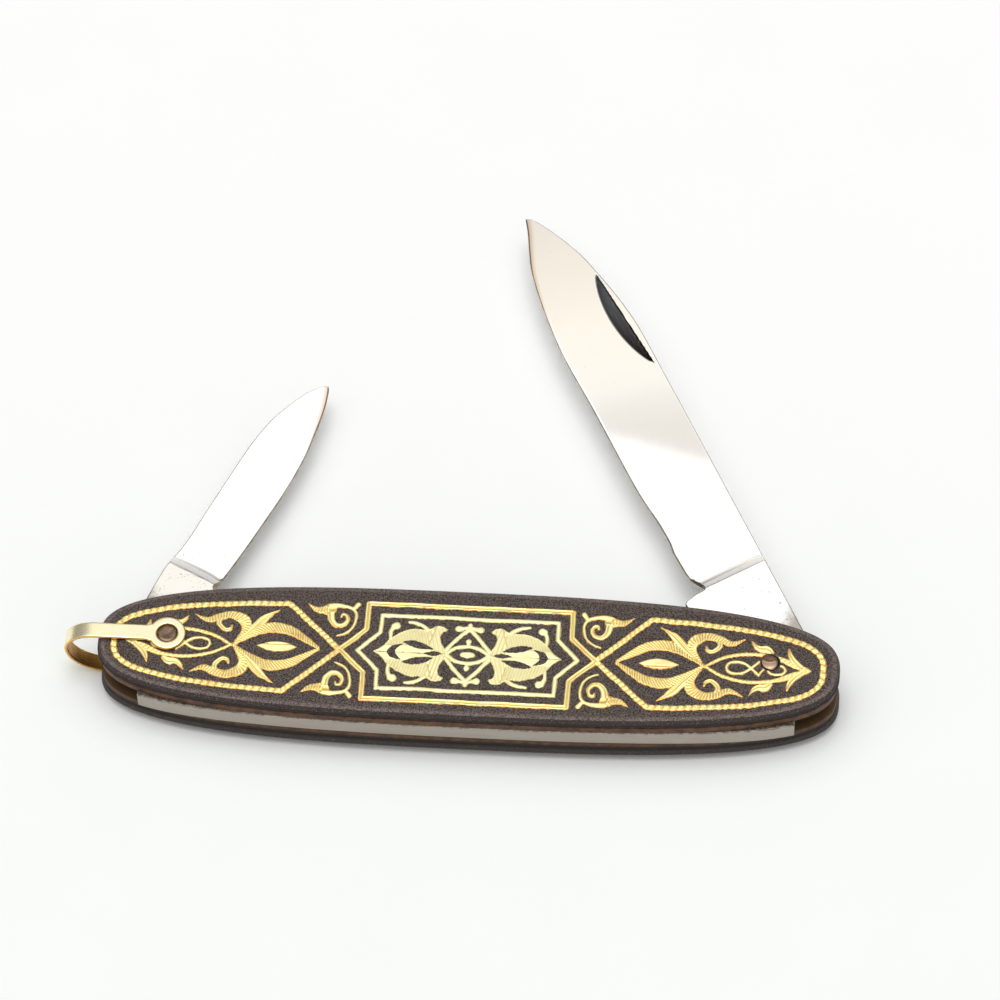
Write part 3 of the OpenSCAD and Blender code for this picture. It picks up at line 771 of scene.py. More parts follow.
def blade(node, spec, pivot, pin_radius, turned):
    """A blade lofted from many cross-sections, from its tang to its tip, and bored for its pin."""
    low, high = box_mm(node)
    half, middle = (high.z - low.z) / 2, (high.z + low.z) / 2
    corners = np.array([v.co for v in frame["nodes"][node].data.vertices]) / MM
    reach = corners[:, :2] - np.array(pivot)
    tip = reach[np.argmax(np.hypot(*reach.T))]
    length, angle = math.hypot(*tip), math.atan2(tip[1], tip[0])

    stations = np.concatenate([
        -TANG_RADIUS * np.cos(np.linspace(0, math.pi / 2, 24)),
        np.linspace(0, spec["shoulder"], 12)[1:],
        [spec["shoulder"] + 1e-3],
        np.linspace(spec["shoulder"], spec["choil"][0][0], 16)[1:],
        np.arange(spec["choil"][0][0], spec["choil"][-1][0], 0.07)[1:],
        np.arange(spec["choil"][-1][0], length - 0.6, 0.16),
        length - 0.6 * (1 - np.linspace(0, 1, 14)[:-1]) ** 2 - 0.004,
    ])
    nominal = 9.0
    rows = np.concatenate([
        [0, 0.02, 0.05, 0.09, 0.13], np.arange(0.2, 2.8, 0.055), np.arange(3.0, nominal - 1.0, 0.4),
        nominal - np.array([0.8, 0.6, 0.48, 0.38, 0.28, 0.19, 0.12, 0.06, 0.03, 0.0]),
    ]) / nominal
    u = np.repeat(stations[:, None], len(rows), axis=1)
    top, bottom = blade_profile(spec, stations)
    top, bottom = np.minimum(top, -1e-4)[:, None], np.maximum(bottom, 1e-4)[:, None]
    v = top + (bottom - top) * rows[None, :]
    z, past = blade_half_thickness(spec, u, v, top, bottom, half)
    nick = nick_depth(spec, u, v)
    n, m = u.shape
    local = np.stack([
        np.stack([u, v, z - nick], -1),
        np.stack([u, v, -z], -1),
    ])
    place = local * ([1, -1, -1] if turned else [1, 1, 1])
    c, s = math.cos(angle), math.sin(angle)
    x = pivot[0] + c * place[..., 0] - s * place[..., 1]
    y = pivot[1] + s * place[..., 0] + c * place[..., 1]
    points = np.stack([x, y, place[..., 2] + middle], -1).reshape(-1, 3)

    def at(side, i, j):
        return side * n * m + i * m + j

    faces = []
    for i in range(n - 1):
        for j in range(m - 1):
            faces.append((at(0, i, j), at(0, i + 1, j), at(0, i + 1, j + 1), at(0, i, j + 1)))
            faces.append((at(1, i, j), at(1, i, j + 1), at(1, i + 1, j + 1), at(1, i + 1, j)))
        faces.append((at(0, i, 0), at(1, i, 0), at(1, i + 1, 0), at(0, i + 1, 0)))
        faces.append((at(0, i, m - 1), at(0, i + 1, m - 1), at(1, i + 1, m - 1), at(1, i, m - 1)))
    for j in range(m - 1):
        faces.append((at(0, 0, j), at(0, 0, j + 1), at(1, 0, j + 1), at(1, 0, j)))
        faces.append((at(0, n - 1, j), at(1, n - 1, j), at(1, n - 1, j + 1), at(0, n - 1, j + 1)))
    obj = make_object(node, points, faces, sharp_degrees=40)
    change(obj.data, face_outwards)
    store(obj, "blade_place", "FLOAT_VECTOR", local.reshape(-1, 3))
    to_edge = np.broadcast_to(bottom - v, u.shape)
    store(obj, "to_edge", "FLOAT", np.concatenate([to_edge.ravel()] * 2))
    store(obj, "nick", "FLOAT", np.concatenate([nick.ravel(), np.zeros(n * m)]))
    store(obj, "run_out", "FLOAT", np.concatenate([past.ravel()] * 2))
    bore(obj, circle(pivot, pin_radius + BLADE_PIN_GAP))
    return obj


def bore(obj, outline):
    """Drills through a blade."""
    cutter = stacked_plate("cutter", [(outline, -3), (outline, 3)], [])
    add_modifier(obj, "BOOLEAN", operation="DIFFERENCE", object=cutter, solver="EXACT")
    graph = bpy.context.evaluated_depsgraph_get()
    mesh = bpy.data.meshes.new_from_object(obj.evaluated_get(graph))
    obj.modifiers.clear()
    obj.data = mesh
    bpy.data.objects.remove(cutter)


# ---------- spring, pins and bail ----------


def spring_outline():
    """The spring from the side: its outer edge follows the handle, and its ends are lifted."""
    end = SPRING_HIGH.x
    x = np.linspace(-end, end, 97)
    inset = HALF_LENGTH - LINER_HIGH.x + 0.05
    bent = np.maximum(0, np.abs(x) / end - 0.4) / 0.6
    along = np.abs(x) / (HALF_LENGTH - inset)
    y = -(HALF_WIDTH - inset) * (1 - along ** OVAL_POWER) ** (1 / OVAL_POWER)
    back = np.column_stack([x, y - 0.5 * bent ** 2])
    seat, waist = SPRING_HIGH.y, SPRING_HIGH.y - 1.1
    half = np.array([[end, seat], [17.7, seat], [16.5, waist]])
    return np.vstack([back, half, half[::-1] * [-1, 1]])


def spring_plate():
    shape = spring_outline()
    rivet_low, rivet_high = box_mm("spring_rivet")
    middle = (rivet_low + rivet_high) / 2
    hole = circle(middle, (rivet_high.x - rivet_low.x) / 2 + PIN_GAP)
    obj = stacked_plate("spring_plate", [(shape, SPRING_LOW.z), (shape, SPRING_HIGH.z)], [hole])
    obj.modifiers.clear()
    bevel(obj, 0.09, 3, 30)
    keep_flats_flat(obj)
    return obj


def lathe(name, centre, head, dents, shift=(0, 0), flatten=1.0):
    """A turned pin with two like heads, each from rings of (radius, z) outwards, and dented.

    The heads are moved by shift and narrowed in Y by flatten, as an uneven hammer leaves them.
    """
    profile = [(radius, -z) for radius, z in head[::-1]] + head
    count = 72
    angles = np.linspace(0, 2 * math.pi, count + 1)[:-1]
    points, faces = [], []
    for radius, z in profile:
        proud = float(np.clip((abs(z) - FACE_Z) / 0.25, 0, 1))
        x = radius * np.cos(angles) + proud * shift[0]
        y = radius * np.sin(angles) * (1 - proud * (1 - flatten)) + proud * shift[1]
        dent = dents * ripple(3.5 * x + 9, 3.5 * y + 2 * z, 21)
        points += np.column_stack([centre.x + x, centre.y + y, z + dent * math.copysign(1, z)]).tolist()
    top = len(profile) - 1
    for k in range(count):
        after = (k + 1) % count
        faces += [(a + k, a + after, a + count + after, a + count + k)
                  for a in range(0, top * count, count)]
    faces.append(tuple(range(count))[::-1])
    faces.append(tuple(range(top * count, (top + 1) * count)))
    return make_object(name, points, faces, sharp_degrees=60)


def large_pin():
    """Both heads stand proud, with a flat struck top and sloping sides."""
    r, top = LARGE_PIN_RADIUS, LARGE_PIN_HIGH.z
    head = [(r, FACE_Z - 0.1), (r, FACE_Z + 0.01), (0.86 * r, FACE_Z + 0.04), (0.84 * r, top - 0.2),
            (0.74 * r, top - 0.07), (0.66 * r, top - 0.035), (0.5 * r, top - 0.03), (0.2 * r, top - 0.03)]
    return lathe("large_pin", LARGE_PIVOT, head, 0.02, (-0.12, 0.26), 0.68)


def small_pin():
    """Both ends are peened almost flush with the eyes of the bail."""
    r, top = SMALL_PIN_RADIUS, SMALL_PIN_HIGH.z
    head = [(r, FACE_Z - 0.1), (r, top - 0.16), (0.97 * r, top - 0.08), (0.88 * r, top - 0.03),
            (0.7 * r, top - 0.01), (0.5 * r, top - 0.03), (0.3 * r, top - 0.06), (0.1 * r, top - 0.07)]
    return lathe("small_pin", SMALL_PIVOT, head, 0.008)


BAIL_THICKNESS = 0.4
BAIL_HALF_WIDTH = 0.93
BAIL_EDGE = 0.13
BAIL_CELL = 0.085
BAIL_TWIST = 0.6


def bail_side():
    """The middle of the strip, seen from the side, from the front eye round to the back one."""
    bail_z = BAIL_HIGH.z - BAIL_THICKNESS / 2
    bend_z, end_x = 1.1, BAIL_LOW.x
    mid_end = end_x + BAIL_THICKNESS / 2
    front_x, back_x = end_x + 3.4, end_x + 5
    front = np.linspace(math.pi / 2, math.pi, 40)
    back = np.linspace(math.pi, 1.5 * math.pi, 60)[1:]
    bends = [np.column_stack([x + (x - mid_end) * np.cos(a), bend_z + reach * np.sin(a)])
             for x, reach, a in ((front_x, bail_z - bend_z, front), (back_x, bail_z + bend_z, back))]
    return np.vstack([[SMALL_PIVOT.x, bail_z], *bends, [SMALL_PIVOT.x, -bail_z]])


def bail_strip():
    """A flat strip with an eye at each end, bent into a loop round the end of the handle."""
    side = bail_side()
    run = np.concatenate([[0], np.cumsum(np.hypot(*np.diff(side, axis=0).T))])
    length = run[-1]
    half = length / 2
    eye, arm = (BAIL_HIGH.y - BAIL_LOW.y) / 2, BAIL_HALF_WIDTH
    relief = Relief(half + eye + Relief.MARGIN, eye + Relief.MARGIN, BAIL_CELL)
    relief.stroke(np.array([[-half, 0, arm], [half, 0, arm]]), plain)
    for end in (-1, 1):
        relief.stroke(np.array([[end * half, 0, eye], [end * (half - 1e-3), 0, eye]]), plain)
        neck = [[half - 1.6, 0, 1.1], [half - 1.9, 0, 0.98], [half - 2.3, 0, arm]]
        relief.stroke(smooth(neck) * [end, 1, 1], plain)
        relief.pierce(end * half, 0, SMALL_PIN_RADIUS + EYE_PIN_GAP)
    depth = np.clip(BAIL_EDGE - relief.inside, 0, BAIL_EDGE)
    level = BAIL_THICKNESS / 2 - BAIL_EDGE + np.sqrt(BAIL_EDGE ** 2 - depth ** 2)
    # The height is 1 on the strip's flat faces, which the bail's material paints pale as a highlight.
    relief.height = np.clip(relief.inside / BAIL_EDGE, 0, 1)
    obj = relief.solid("bail_strip", level, -level)
    points = np.array([v.co for v in obj.data.vertices]) / MM
    s = points[:, 0] + half
    clipped = np.clip(s, 0, length)

    def at(distance):
        return np.column_stack([np.interp(distance, run, side[:, k]) for k in (0, 1)])

    along = at(np.minimum(clipped + 0.02, length)) - at(np.maximum(clipped - 0.02, 0))
    along /= np.hypot(*along.T)[:, None]
    outward = np.column_stack([along[:, 1], -along[:, 0]])
    bent = at(clipped) + along * (s - clipped)[:, None] + outward * points[:, 2:3]
    twist = ease((clipped / length - 0.42) / 0.36) * np.clip((length - clipped) / (0.2 * length), 0, 1)
    y = SMALL_PIVOT.y + points[:, 1] + BAIL_TWIST * twist
    final = np.column_stack([bent[:, 0], y, bent[:, 1]]) * MM
    # The inner face, which the bail's material darkens with painted shade.
    store(obj, "inner", "FLOAT", points[:, 2] < 0)
    obj.data.vertices.foreach_set("co", final.astype(np.float32).ravel())
    change(obj.data, face_outwards)
    return obj


# ---------- materials ----------


def rgb(red, green, blue):
    """A screen colour, 0 to 255, as the linear values that shaders take."""
    def linear(c):
        c /= 255
        return c / 12.92 if c <= 0.04045 else ((c + 0.055) / 1.055) ** 2.4
    return linear(red), linear(green), linear(blue), 1.0


class Value:
    """Something that a node works out. Arithmetic on it adds the nodes that do the sum."""

    def __init__(self, nodes, socket):
        self.nodes, self.socket = nodes, socket

    def __add__(self, other):
        return self.nodes.math("ADD", self, other)

    def __sub__(self, other):
        return self.nodes.math("SUBTRACT", self, other)

    def __mul__(self, other):
        return self.nodes.math("MULTIPLY", self, other)

    def __truediv__(self, other):
        return self.nodes.math("DIVIDE", self, other)

    def __abs__(self):
        return self.nodes.math("ABSOLUTE", self)


class Nodes:
    """Builds one tree of shader nodes."""

    def __init__(self, tree):
        self.tree = tree

    def feed(self, socket, value):
        if isinstance(value, Value):
            self.tree.links.new(value.socket, socket)
        else:
            socket.default_value = value

    def node(self, kind, inputs, **settings):
        node = self.tree.nodes.new("ShaderNode" + kind)
        for key, value in settings.items():
            setattr(node, key, value)
        for key, value in inputs.items():
            self.feed(node.inputs[key], value)
        return node

    def output(self, name, kind, inputs=None, **settings):
        return Value(self, self.node(kind, inputs or {}, **settings).outputs[name])

    def math(self, operation, a, b=0.0, clamp=False):
        return self.output(0, "Math", {0: a, 1: b}, operation=operation, use_clamp=clamp)

    def parts(self, vector):
        return [Value(self, part) for part in self.node("SeparateXYZ", {0: vector}).outputs]

    def step(self, value, low, high):
        """0 below low, 1 above high and smooth between. It falls instead when low is above high."""
        falls = float(low > high)
        inputs = {"Value": value, "From Min": min(low, high), "From Max": max(low, high),
                  "To Min": falls, "To Max": 1 - falls}
        return self.output("Result", "MapRange", inputs, interpolation_type="SMOOTHSTEP")

    def mix(self, share, a, b):
        return self.output("Result", "Mix", {"Factor": share, "A": a, "B": b}, data_type="RGBA")


    def layered(self, colour, *layers):
        """The colour with others laid over it in turn, each given with its share."""
        for share, over in layers:
            colour = self.mix(share, colour, over)
        return colour


class Shader(Nodes):
    """A principled material. Lengths in it are millimetres."""

    def __init__(self, name):
        self.material = bpy.data.materials.new(name)
        self.material.use_nodes = True
        super().__init__(self.material.node_tree)
        self.place = self.scaled(self.output("Object", "TexCoord"), 1 / MM)

    def scaled(self, vector, by):
        """A vector times a number or times another vector."""
        by = (by, by, by) if isinstance(by, float) else by
        return self.output(0, "VectorMath", {0: vector, 1: by}, operation="MULTIPLY")

    def attribute(self, name, output="Fac"):
        return self.output(output, "Attribute", attribute_name=name)

    def facing(self):
        """The three parts of the surface's normal."""
        return self.parts(self.output("Normal", "NewGeometry"))

    def noise(self, size, detail=3.0, rough=0.55, vector=None, stretch=None):
        """Noise whose features are about size millimetres across."""
        vector = vector or self.place
        vector = self.scaled(vector, stretch) if stretch else vector
        return self.output("Fac", "TexNoise", {
            "Vector": vector, "Scale": 1 / size, "Detail": detail, "Roughness": rough})

    def cells(self, size):
        return self.output("Distance", "TexVoronoi", {"Vector": self.place, "Scale": 1 / size})

    def bump(self, height, depth, strength):
        """Bump from a height of 0 to 1 that stands for depth millimetres."""
        return self.output("Normal", "Bump", {
            "Strength": strength, "Distance": depth * MM, "Height": height})

    def finish(self, colour, rough, **others):
        names = {"metal": "Metallic", "normal": "Normal", "specular": "Specular IOR Level"}
        inputs = self.tree.nodes["Principled BSDF"].inputs
        self.feed(inputs["Base Color"], colour)
        self.feed(inputs["Roughness"], rough)
        for key, value in others.items():
            self.feed(inputs[names[key]], value)
        return self.material


def dark_steel():
    """Blackened, finely pebbled steel with rust flecks, painted glints on its grains, a painted sheen on its
    rounded rim, and painted shade on its side walls, on the back plate and along its edge by the liner.
    """
    s = Shader("dark_steel")
    grain = s.noise(0.17, 3, 0.65)
    depth = s.parts(s.place)[2]
    z, lean = abs(depth), abs(s.facing()[2])
    rust = s.step(s.noise(0.7, 5, 0.8), 0.53, 0.66) * s.step(s.noise(4, 3, 0.6), 0.38, 0.62)
    # Painted highlight: the rounded rim is paled where it turns over, a sheen of reflected light, broken up
    # by noise.
    turn = s.step(lean, 0.9985, 0.98) * s.step(z, FACE_Z - 0.75, FACE_Z - 0.4)
    painted_rim_sheen = turn * s.step(s.noise(0.24, 4, 0.7), 0.38, 0.6)
    front = s.math("GREATER_THAN", depth, 0.0)
    # Painted shade: side walls that turn away from the light are darkened, those of the back plate more than
    # those of the front.
    walls = s.mix(front, s.mix(grain, rgb(50, 44, 41), rgb(72, 66, 63)),
                  s.mix(grain, rgb(40, 33, 31), rgb(60, 52, 49)))
    # Painted glints: bright specks of light on the grains, slightly more on the rounded rim.
    painted_glints = s.step(s.noise(0.11, 1, 0.5) + turn * 0.05, 0.7, 0.78)
    # Painted shade: near black along the underside next to the liner, where the gap between the parts lies in
    # shadow.
    under = s.step(z - front * (SCALE_UNDERCUT - 0.2), SCALE_LOW.z + 0.45, SCALE_LOW.z + 0.15)
    colour = s.layered(
        s.mix(s.step(grain, 0.36, 0.64), rgb(30, 24, 22), rgb(112, 100, 94)),
        (rust * 0.6, rgb(104, 56, 38)),
        (painted_rim_sheen * 0.7, rgb(140, 122, 116)),
        (s.step(lean, 0.86, 0.7) * 0.85, walls),
        (painted_glints * 0.6, rgb(190, 184, 180)),
        (under * 0.8, rgb(26, 16, 12)))
    return s.finish(colour, grain * 0.3 + 0.36, metal=0.3, specular=0.4,
                    normal=s.bump(s.cells(0.22) * 0.6 + grain, 0.1, 0.9))


def gold(name, groove, base, light, grain_size):
    """Chased gold, with painted shade in its cuts and a painted highlight on its high places."""
    s = Shader(name)
    grain = s.noise(grain_size, 3, 0.6)
    # Painted shade: the relief turns the colour from the base colour on the crowns to the groove colour in
    # the cuts.
    level = s.attribute("relief") + (grain - 0.5) * 0.55
    # Painted highlight: the highest places, broken up by noise, turn to the light colour.
    painted_highlight = s.step(level + s.noise(0.6, 3, 0.6) * 0.5, 0.85, 1.22)
    cloud = s.step(s.noise(2.5, 2), 0.5, 0.75)
    colour = s.layered(s.mix(s.step(level, 0.0, 0.6), groove, base),
                       (painted_highlight * 0.9, light), (cloud * 0.35, groove))
    return s.finish(colour, grain * 0.25 + 0.3, metal=0.6, specular=0.3,
                    normal=s.bump(grain, 0.03, 0.6))


def blade_steel(name, spec, tip_tan, notch_shade_end):
    """Polished steel with fine scratches, a tan tip and a dull band past the plunge, with painted shade along
    the edge bevel, at the plunge line, in the nail nick and on the notch wall.
    """
    s = Shader(name)
    length = blade_length(spec)
    place = s.attribute("blade_place", "Vector")
    to_edge, nick, run_out = s.attribute("to_edge"), s.attribute("nick"), s.attribute("run_out")
    u, v, _ = s.parts(place)
    scratches = s.noise(0.05, 2, 0.6, place, (0.02, 1, 1))
    across = s.noise(0.12, 2, 0.6, place, (1, 0.06, 1))
    uneven = s.noise(1.6, 3, 0.7, place)

    tan = s.step(to_edge / (s.step(u, 0.7 * length, length) * tip_tan + 0.06), 1.6, 0.1)
    # Painted shade: a thin dark line along the edge bevel, in patches. The edge is also made rougher there.
    thin = s.step(to_edge, 0.09, 0.02)
    broken = s.step(uneven, 0.42, 0.58) * 0.6 + 0.25
    heel = s.step(u, 0.5 * length, 0.2 * length)
    spots = s.step(uneven, 0.5, 0.62) * s.step(to_edge, 0.22, 0.05) * heel
    patches = s.step(s.noise(2.5, 2, 0.6, place), 0.4, 0.6)
    pits = s.step(s.noise(0.3, 4, 0.75, place), 0.585, 0.665) * s.step(u, 15.5, 12) * patches
    specks = s.step(s.noise(0.35, 2, 0.6, place), 0.7, 0.8)
    stain = s.step(u + uneven * 3 + v, 4.0, 1.4)
    begun = s.step(run_out, 0.002, 0.02)
    band = s.step(run_out, 0.97, 0.8) * begun
    # Painted shade along the plunge line, where the grind starts.
    plunge_line_shade = s.step(run_out, 0.25, 0.1) * begun
    # Painted shade and reflection in the nail nick: dark towards the tang, bluish grey towards the tip,
    # crossed by paler scratches. The nick is also rougher.
    deep = s.step(nick, 0.02, 0.08)
    pocket = s.mix(s.step(u, 0.66 * length, 0.84 * length), rgb(72, 64, 62), rgb(112, 116, 118))
    # Painted shade on the notch's side wall by the tang, which faces away from the light.
    side = s.step(abs(s.facing()[2]), 0.6, 0.3) * s.step(v, -1, 0)
    notch = side * s.step(u, 10, 10.4) * s.step(u, notch_shade_end, notch_shade_end - 0.6)
    colour = s.layered(
        s.mix(s.noise(6, 3, 0.5, place), rgb(248, 245, 241), rgb(254, 252, 249)),
        (tan * 0.65, rgb(208, 166, 120)),
        (thin * broken, rgb(128, 112, 98)),
        (spots * 0.45, rgb(186, 138, 84)),
        (pits * 0.75, rgb(100, 88, 72)),
        (specks * 0.35, rgb(150, 142, 134)),
        (stain * 0.75, rgb(130, 118, 104)),
        (band * 0.2, rgb(196, 184, 170)),
        (plunge_line_shade * 0.4, rgb(96, 90, 84)),
        (deep, s.mix(s.step(scratches, 0.6, 0.75), pocket, rgb(150, 150, 150))),
        (notch * 0.9, rgb(58, 48, 42)))
    dull = s.math("ADD", pits + thin + deep * 0.8, band, clamp=True)
    return s.finish(colour, scratches * 0.014 + 0.008 + dull * 0.35, metal=band * -0.75 + 1.0,
                    normal=s.bump(scratches * 0.6 + across * 0.15, 0.0004, 0.3))


def spring_steel():
    """Satin steel, drawn lengthwise, with dirt along the edge under the front liner."""
    s = Shader("spring_steel")
    drawn = s.noise(0.12, 3, 0.6, stretch=(0.02, 1, 1))
    blotch = s.noise(0.28, 5, 0.75, stretch=(0.6, 1, 1))
    edge = s.step(s.parts(s.place)[2], SPRING_HIGH.z - 0.5, SPRING_HIGH.z)
    dirt = s.step(edge * 0.2 + blotch, 0.64, 0.72)
    colour = s.layered(s.mix(drawn, rgb(152, 143, 134), rgb(192, 184, 174)), (dirt * 0.65, rgb(70, 60, 52)))
    return s.finish(colour, drawn * 0.2 + 0.38, metal=0.85, normal=s.bump(drawn, 0.02, 0.5))


def liner_brass():
    """Sheet brass: brown outside and olive inside the slot, with painted shade making the back liner near
    black.
    """
    s = Shader("liner_brass")
    fine = s.noise(0.15, 3, 0.6)
    z = s.parts(s.place)[2]
    # Painted shade: the back liner darkens to near black away from the spring.
    shade = s.step(z, -LINER_LOW.z - 0.4, -LINER_LOW.z - 0.65)
    inner = s.step(abs(z), LINER_LOW.z + 0.12, LINER_LOW.z + 0.02)
    colour = s.layered(
        s.mix(s.step(s.noise(1.1, 4, 0.65), 0.3, 0.7), rgb(66, 44, 34), rgb(112, 78, 54)),
        (shade * 0.85, rgb(22, 16, 13)),
        (inner * 0.8, rgb(112, 90, 62)),
        (s.step(fine, 0.6, 0.75) * 0.5, rgb(48, 36, 28)))
    return s.finish(colour, fine * 0.3 + 0.35, metal=0.6, normal=s.bump(fine, 0.03, 0.6))


def pin_bronze(name, dark, light, facet_highlight):
    """Dull bronze, with a painted highlight where the struck head slopes towards the spring and painted shade
    at its foot by the scale.
    """
    s = Shader(name)
    blotch = s.noise(0.5, 4, 0.7)
    # Painted highlight: the side of the head that slopes towards the spring is lightened.
    painted_slope_highlight = s.step(s.facing()[1], -0.15, -0.4)
    # Painted shade: the foot of each head, by the face of the scale, is near black, the shadow in the gap
    # round the pin.
    collar_shade = s.step(abs(s.parts(s.place)[2]), FACE_Z + 0.06, FACE_Z + 0.03)
    colour = s.layered(s.mix(s.step(blotch, 0.35, 0.7), dark, light),
                       (painted_slope_highlight * facet_highlight, rgb(214, 184, 152)), (collar_shade, rgb(34, 26, 22)))
    return s.finish(colour, s.noise(0.1, 3, 0.6) * 0.3 + 0.28, metal=0.7,
                    normal=s.bump(blotch, 0.05, 0.6))


def bail_gold():
    """Polished gilt strip, with a painted highlight that makes its flat faces pale and leaves its rounded
    edges yellow, and painted shade inside the loop.
    """
    s = Shader("bail_gold")
    drawn = s.noise(0.1, 3, 0.6, stretch=(0.06, 1, 0.06))
    blotch = s.step(s.noise(1.3, 4, 0.6), 0.5, 0.75)
    # Painted highlight: pale on the flat faces, deeper yellow on the rounded edges.
    colour = s.layered(
        s.mix(s.step(s.attribute("relief"), 0.2, 0.9), rgb(236, 190, 96), rgb(255, 244, 204)),
        (blotch * 0.35, rgb(250, 222, 150)),
        # Painted shade inside the loop, where it wraps the handle's end.
        (s.attribute("inner") * 0.9, rgb(190, 138, 70)))
    return s.finish(colour, drawn * 0.12 + 0.22, metal=0.85, normal=s.bump(drawn, 0.004, 0.4))


def floor_paper():
    """White paper, with the faintest green in its lower part, which is also painted a touch darker as shade.
    """
    s = Shader("floor_paper")
    s.place = s.scaled(s.place, 0.2)
    # Towards the front the paper turns faintly green and is painted a touch darker, a falloff of light.
    far = s.step(s.parts(s.place)[1], -12, 22)
    colour = s.mix(s.noise(3, 3, 0.5), s.mix(far, rgb(248, 251, 248), rgb(253, 253, 253)),
                   s.mix(far, rgb(251, 254, 251), rgb(255, 255, 255)))
    return s.finish(colour, 0.9, specular=0.0)


MATERIALS = {
    "dark_steel": dark_steel(),
    # Each gold gets its groove colour for painted shade in the cuts, its base colour, and its light colour
    # for painted highlights.
    "gold": gold("gold", rgb(228, 166, 94), rgb(253, 217, 126), rgb(255, 255, 186), 0.14),
    "pale_gold": gold("pale_gold", rgb(226, 204, 138), rgb(254, 240, 176), rgb(255, 250, 196), 0.1),
    "large_blade_steel": blade_steel("large_blade_steel", LARGE_BLADE, 0.5, 15.2),
    "small_blade_steel": blade_steel("small_blade_steel", SMALL_BLADE, 0.5, 10.2),
    "spring_steel": spring_steel(),
    "liner_brass": liner_brass(),
    "large_pin_bronze": pin_bronze("large_pin_bronze", rgb(96, 72, 58), rgb(140, 110, 88), 0.9),
    "small_pin_bronze": pin_bronze("small_pin_bronze", rgb(104, 84, 68), rgb(140, 116, 98), 0.3),
    "bail_gold": bail_gold(),
}


def clothe(obj, material):
    obj.data.materials.clear()
    obj.data.materials.append(MATERIALS[material])


def stand_for(obj, node, body, slot, material=None):
    """Puts a new piece in place of a CAD node, on its body, with the finish of its slot."""
    obj.name = obj.data.name = node + "_surface"
    clothe(obj, material or slot)
    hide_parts(node)
    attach(obj, body)


# ---------- the knife ----------

PALE_KINDS = ("centre_inlay", "inner_panel_inlay")
two_faced = [("scale", scale_plate(), "dark_steel"), ("liner", liner_plate(), "liner_brass")]
two_faced += [(kind, obj, "pale_gold" if kind in PALE_KINDS else "gold") for kind, obj in all_inlays()]
for kind, obj, slot in two_faced:
    twin = on_the_back(obj, "back_" + kind)
    stand_for(obj, "front_" + kind, "handle", slot)
    stand_for(twin, "back_" + kind, "handle", slot)

stand_for(spring_plate(), "back_spring", "handle", "spring_steel")
stand_for(large_pin(), "large_blade_pin", "handle", "pin_bronze", "large_pin_bronze")
stand_for(small_pin(), "small_blade_pin", "handle", "pin_bronze", "small_pin_bronze")

large = blade("large_blade", LARGE_BLADE, LARGE_PIVOT, LARGE_PIN_RADIUS, False)
stand_for(large, "large_blade", "large_blade", "blade_steel", "large_blade_steel")
small = blade("small_blade", SMALL_BLADE, SMALL_PIVOT, SMALL_PIN_RADIUS, True)
stand_for(small, "small_blade", "small_blade", "blade_steel", "small_blade_steel")

stand_for(bail_strip(), "bail", "bail", "bail_gold")

for node in ("spring_rivet", "large_blade_spacer", "small_blade_spacer"):
    obj = frame["nodes"][node]
    add_modifier(obj, "WELD", merge_threshold=1e-6)
    bevel(obj, 0.05, 2, 50)
    clothe(obj, "liner_brass")

# ---------- floor, light and camera ----------

FLOOR_HALF = 3.0
corners = [(x * FLOOR_HALF / MM, y * FLOOR_HALF / MM, 0) for x, y in ((-1, -1), (1, -1), (1, 1), (-1, 1))]
floor = make_object("floor", corners, [(0, 1, 2, 3)])
floor.location.z = cad_bounds[0][2]
floor.data.materials.append(floor_paper())

scene = bpy.context.scene
scene.view_settings.view_transform = "Standard"

scene.world = bpy.data.worlds.new("studio")
scene.world.use_nodes = True
studio = Nodes(scene.world.node_tree)
studio.tree.nodes.clear()

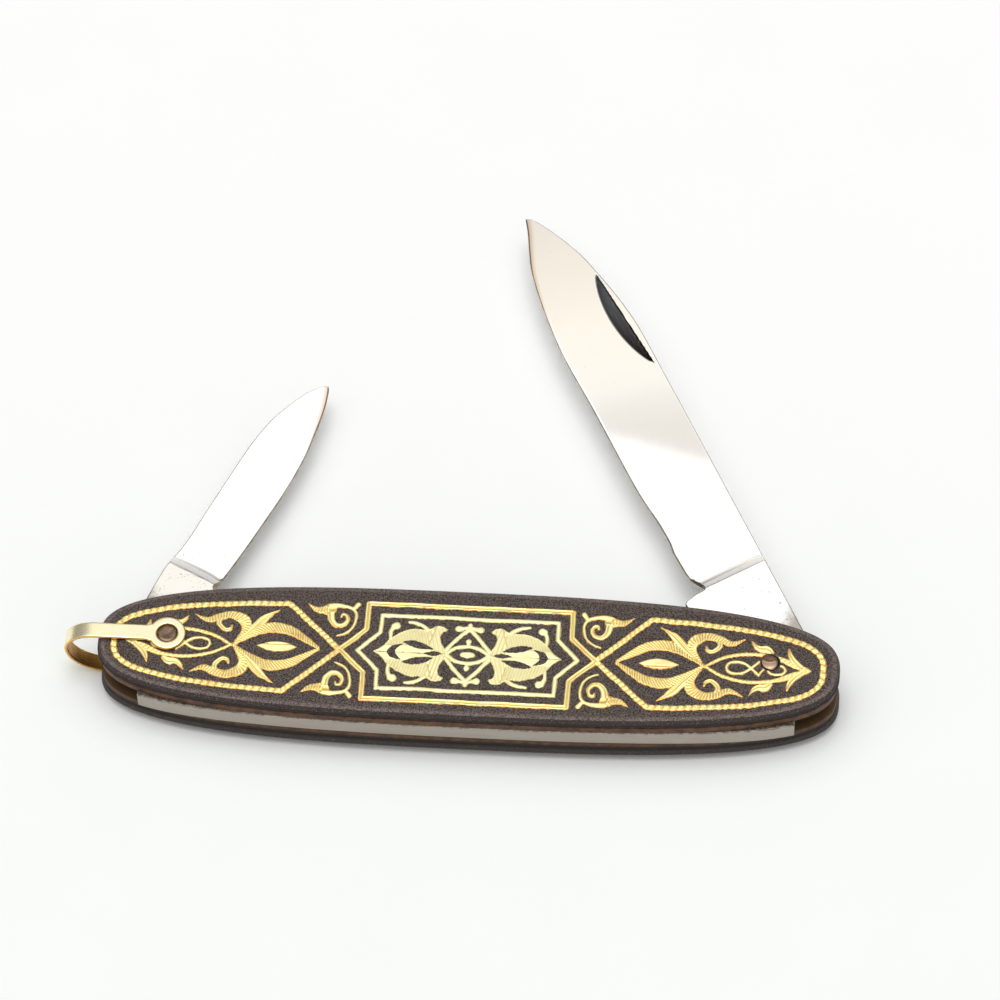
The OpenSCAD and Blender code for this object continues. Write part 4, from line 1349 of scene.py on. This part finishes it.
# The softbox fills the top of the room. The large blade mirrors its slanting edge halfway up.
across, ahead, height = studio.parts(studio.output("Generated", "TexCoord"))
box_edge = studio.step(height - across * 0.22, 0.8712, 0.8718)
box_side = studio.step(across, -0.086, -0.078) * studio.step(height, 0.82, 0.835)
softbox = studio.output(0, "Background", {
    "Color": (1, 1, 1, 1), "Strength": studio.step(height, 0.945, 0.968) * 3.65 + 1.2})

# The walls get paler upwards, with a warm band just below the softbox.
WALL_COLOURS = [(0.0, (0.37, 0.37, 0.37)), (0.5, (0.46, 0.46, 0.46)), (0.8, (0.58, 0.57, 0.56)),
                (0.83, (0.91, 0.87, 0.78)), (0.8375, (0.98, 0.945, 0.87)), (0.8435, (0.95, 0.93, 0.88)),
                (0.848, (0.8, 0.775, 0.74))]
ramp = studio.node("ValToRGB", {"Fac": height})
while len(ramp.color_ramp.elements) < len(WALL_COLOURS):
    ramp.color_ramp.elements.new(0.5)
for element, (position, colour) in zip(ramp.color_ramp.elements, WALL_COLOURS):
    element.position = position
    element.color = (*colour, 1)
kept = studio.math("MAXIMUM", studio.step(ahead, 0.1, -0.3), studio.step(height, 0.7, 0.8))
walls = studio.output(0, "Background", {
    "Color": Value(studio, ramp.outputs["Color"]), "Strength": kept * 0.58 + 0.5})

lit = studio.math("MAXIMUM", box_edge, box_side)
studio.node("OutputWorld", {"Surface": studio.output(0, "MixShader", {0: lit, 1: walls, 2: softbox})})

CAMERA_TARGET = Vector((1.487, 24.851, -4.2)) * MM
CAMERA_DISTANCE = 0.75
CAMERA_AZIMUTH, CAMERA_ELEVATION, CAMERA_ROLL = (math.radians(angle) for angle in (6.625, 57, -3))
camera_data = bpy.data.cameras.new("camera")
camera_data.sensor_width = 36
camera_data.lens = 244.7
camera_data.clip_start, camera_data.clip_end = 0.01, 20
camera = link("camera", camera_data)
camera.matrix_world = (
    Matrix.Translation(CAMERA_TARGET)
    @ Matrix.Rotation(CAMERA_AZIMUTH, 4, "Z")
    @ Matrix.Rotation(math.pi / 2 - CAMERA_ELEVATION, 4, "X")
    @ Matrix.Rotation(CAMERA_ROLL, 4, "Z")
    @ Matrix.Translation((0, 0, CAMERA_DISTANCE))
)
scene.camera = camera
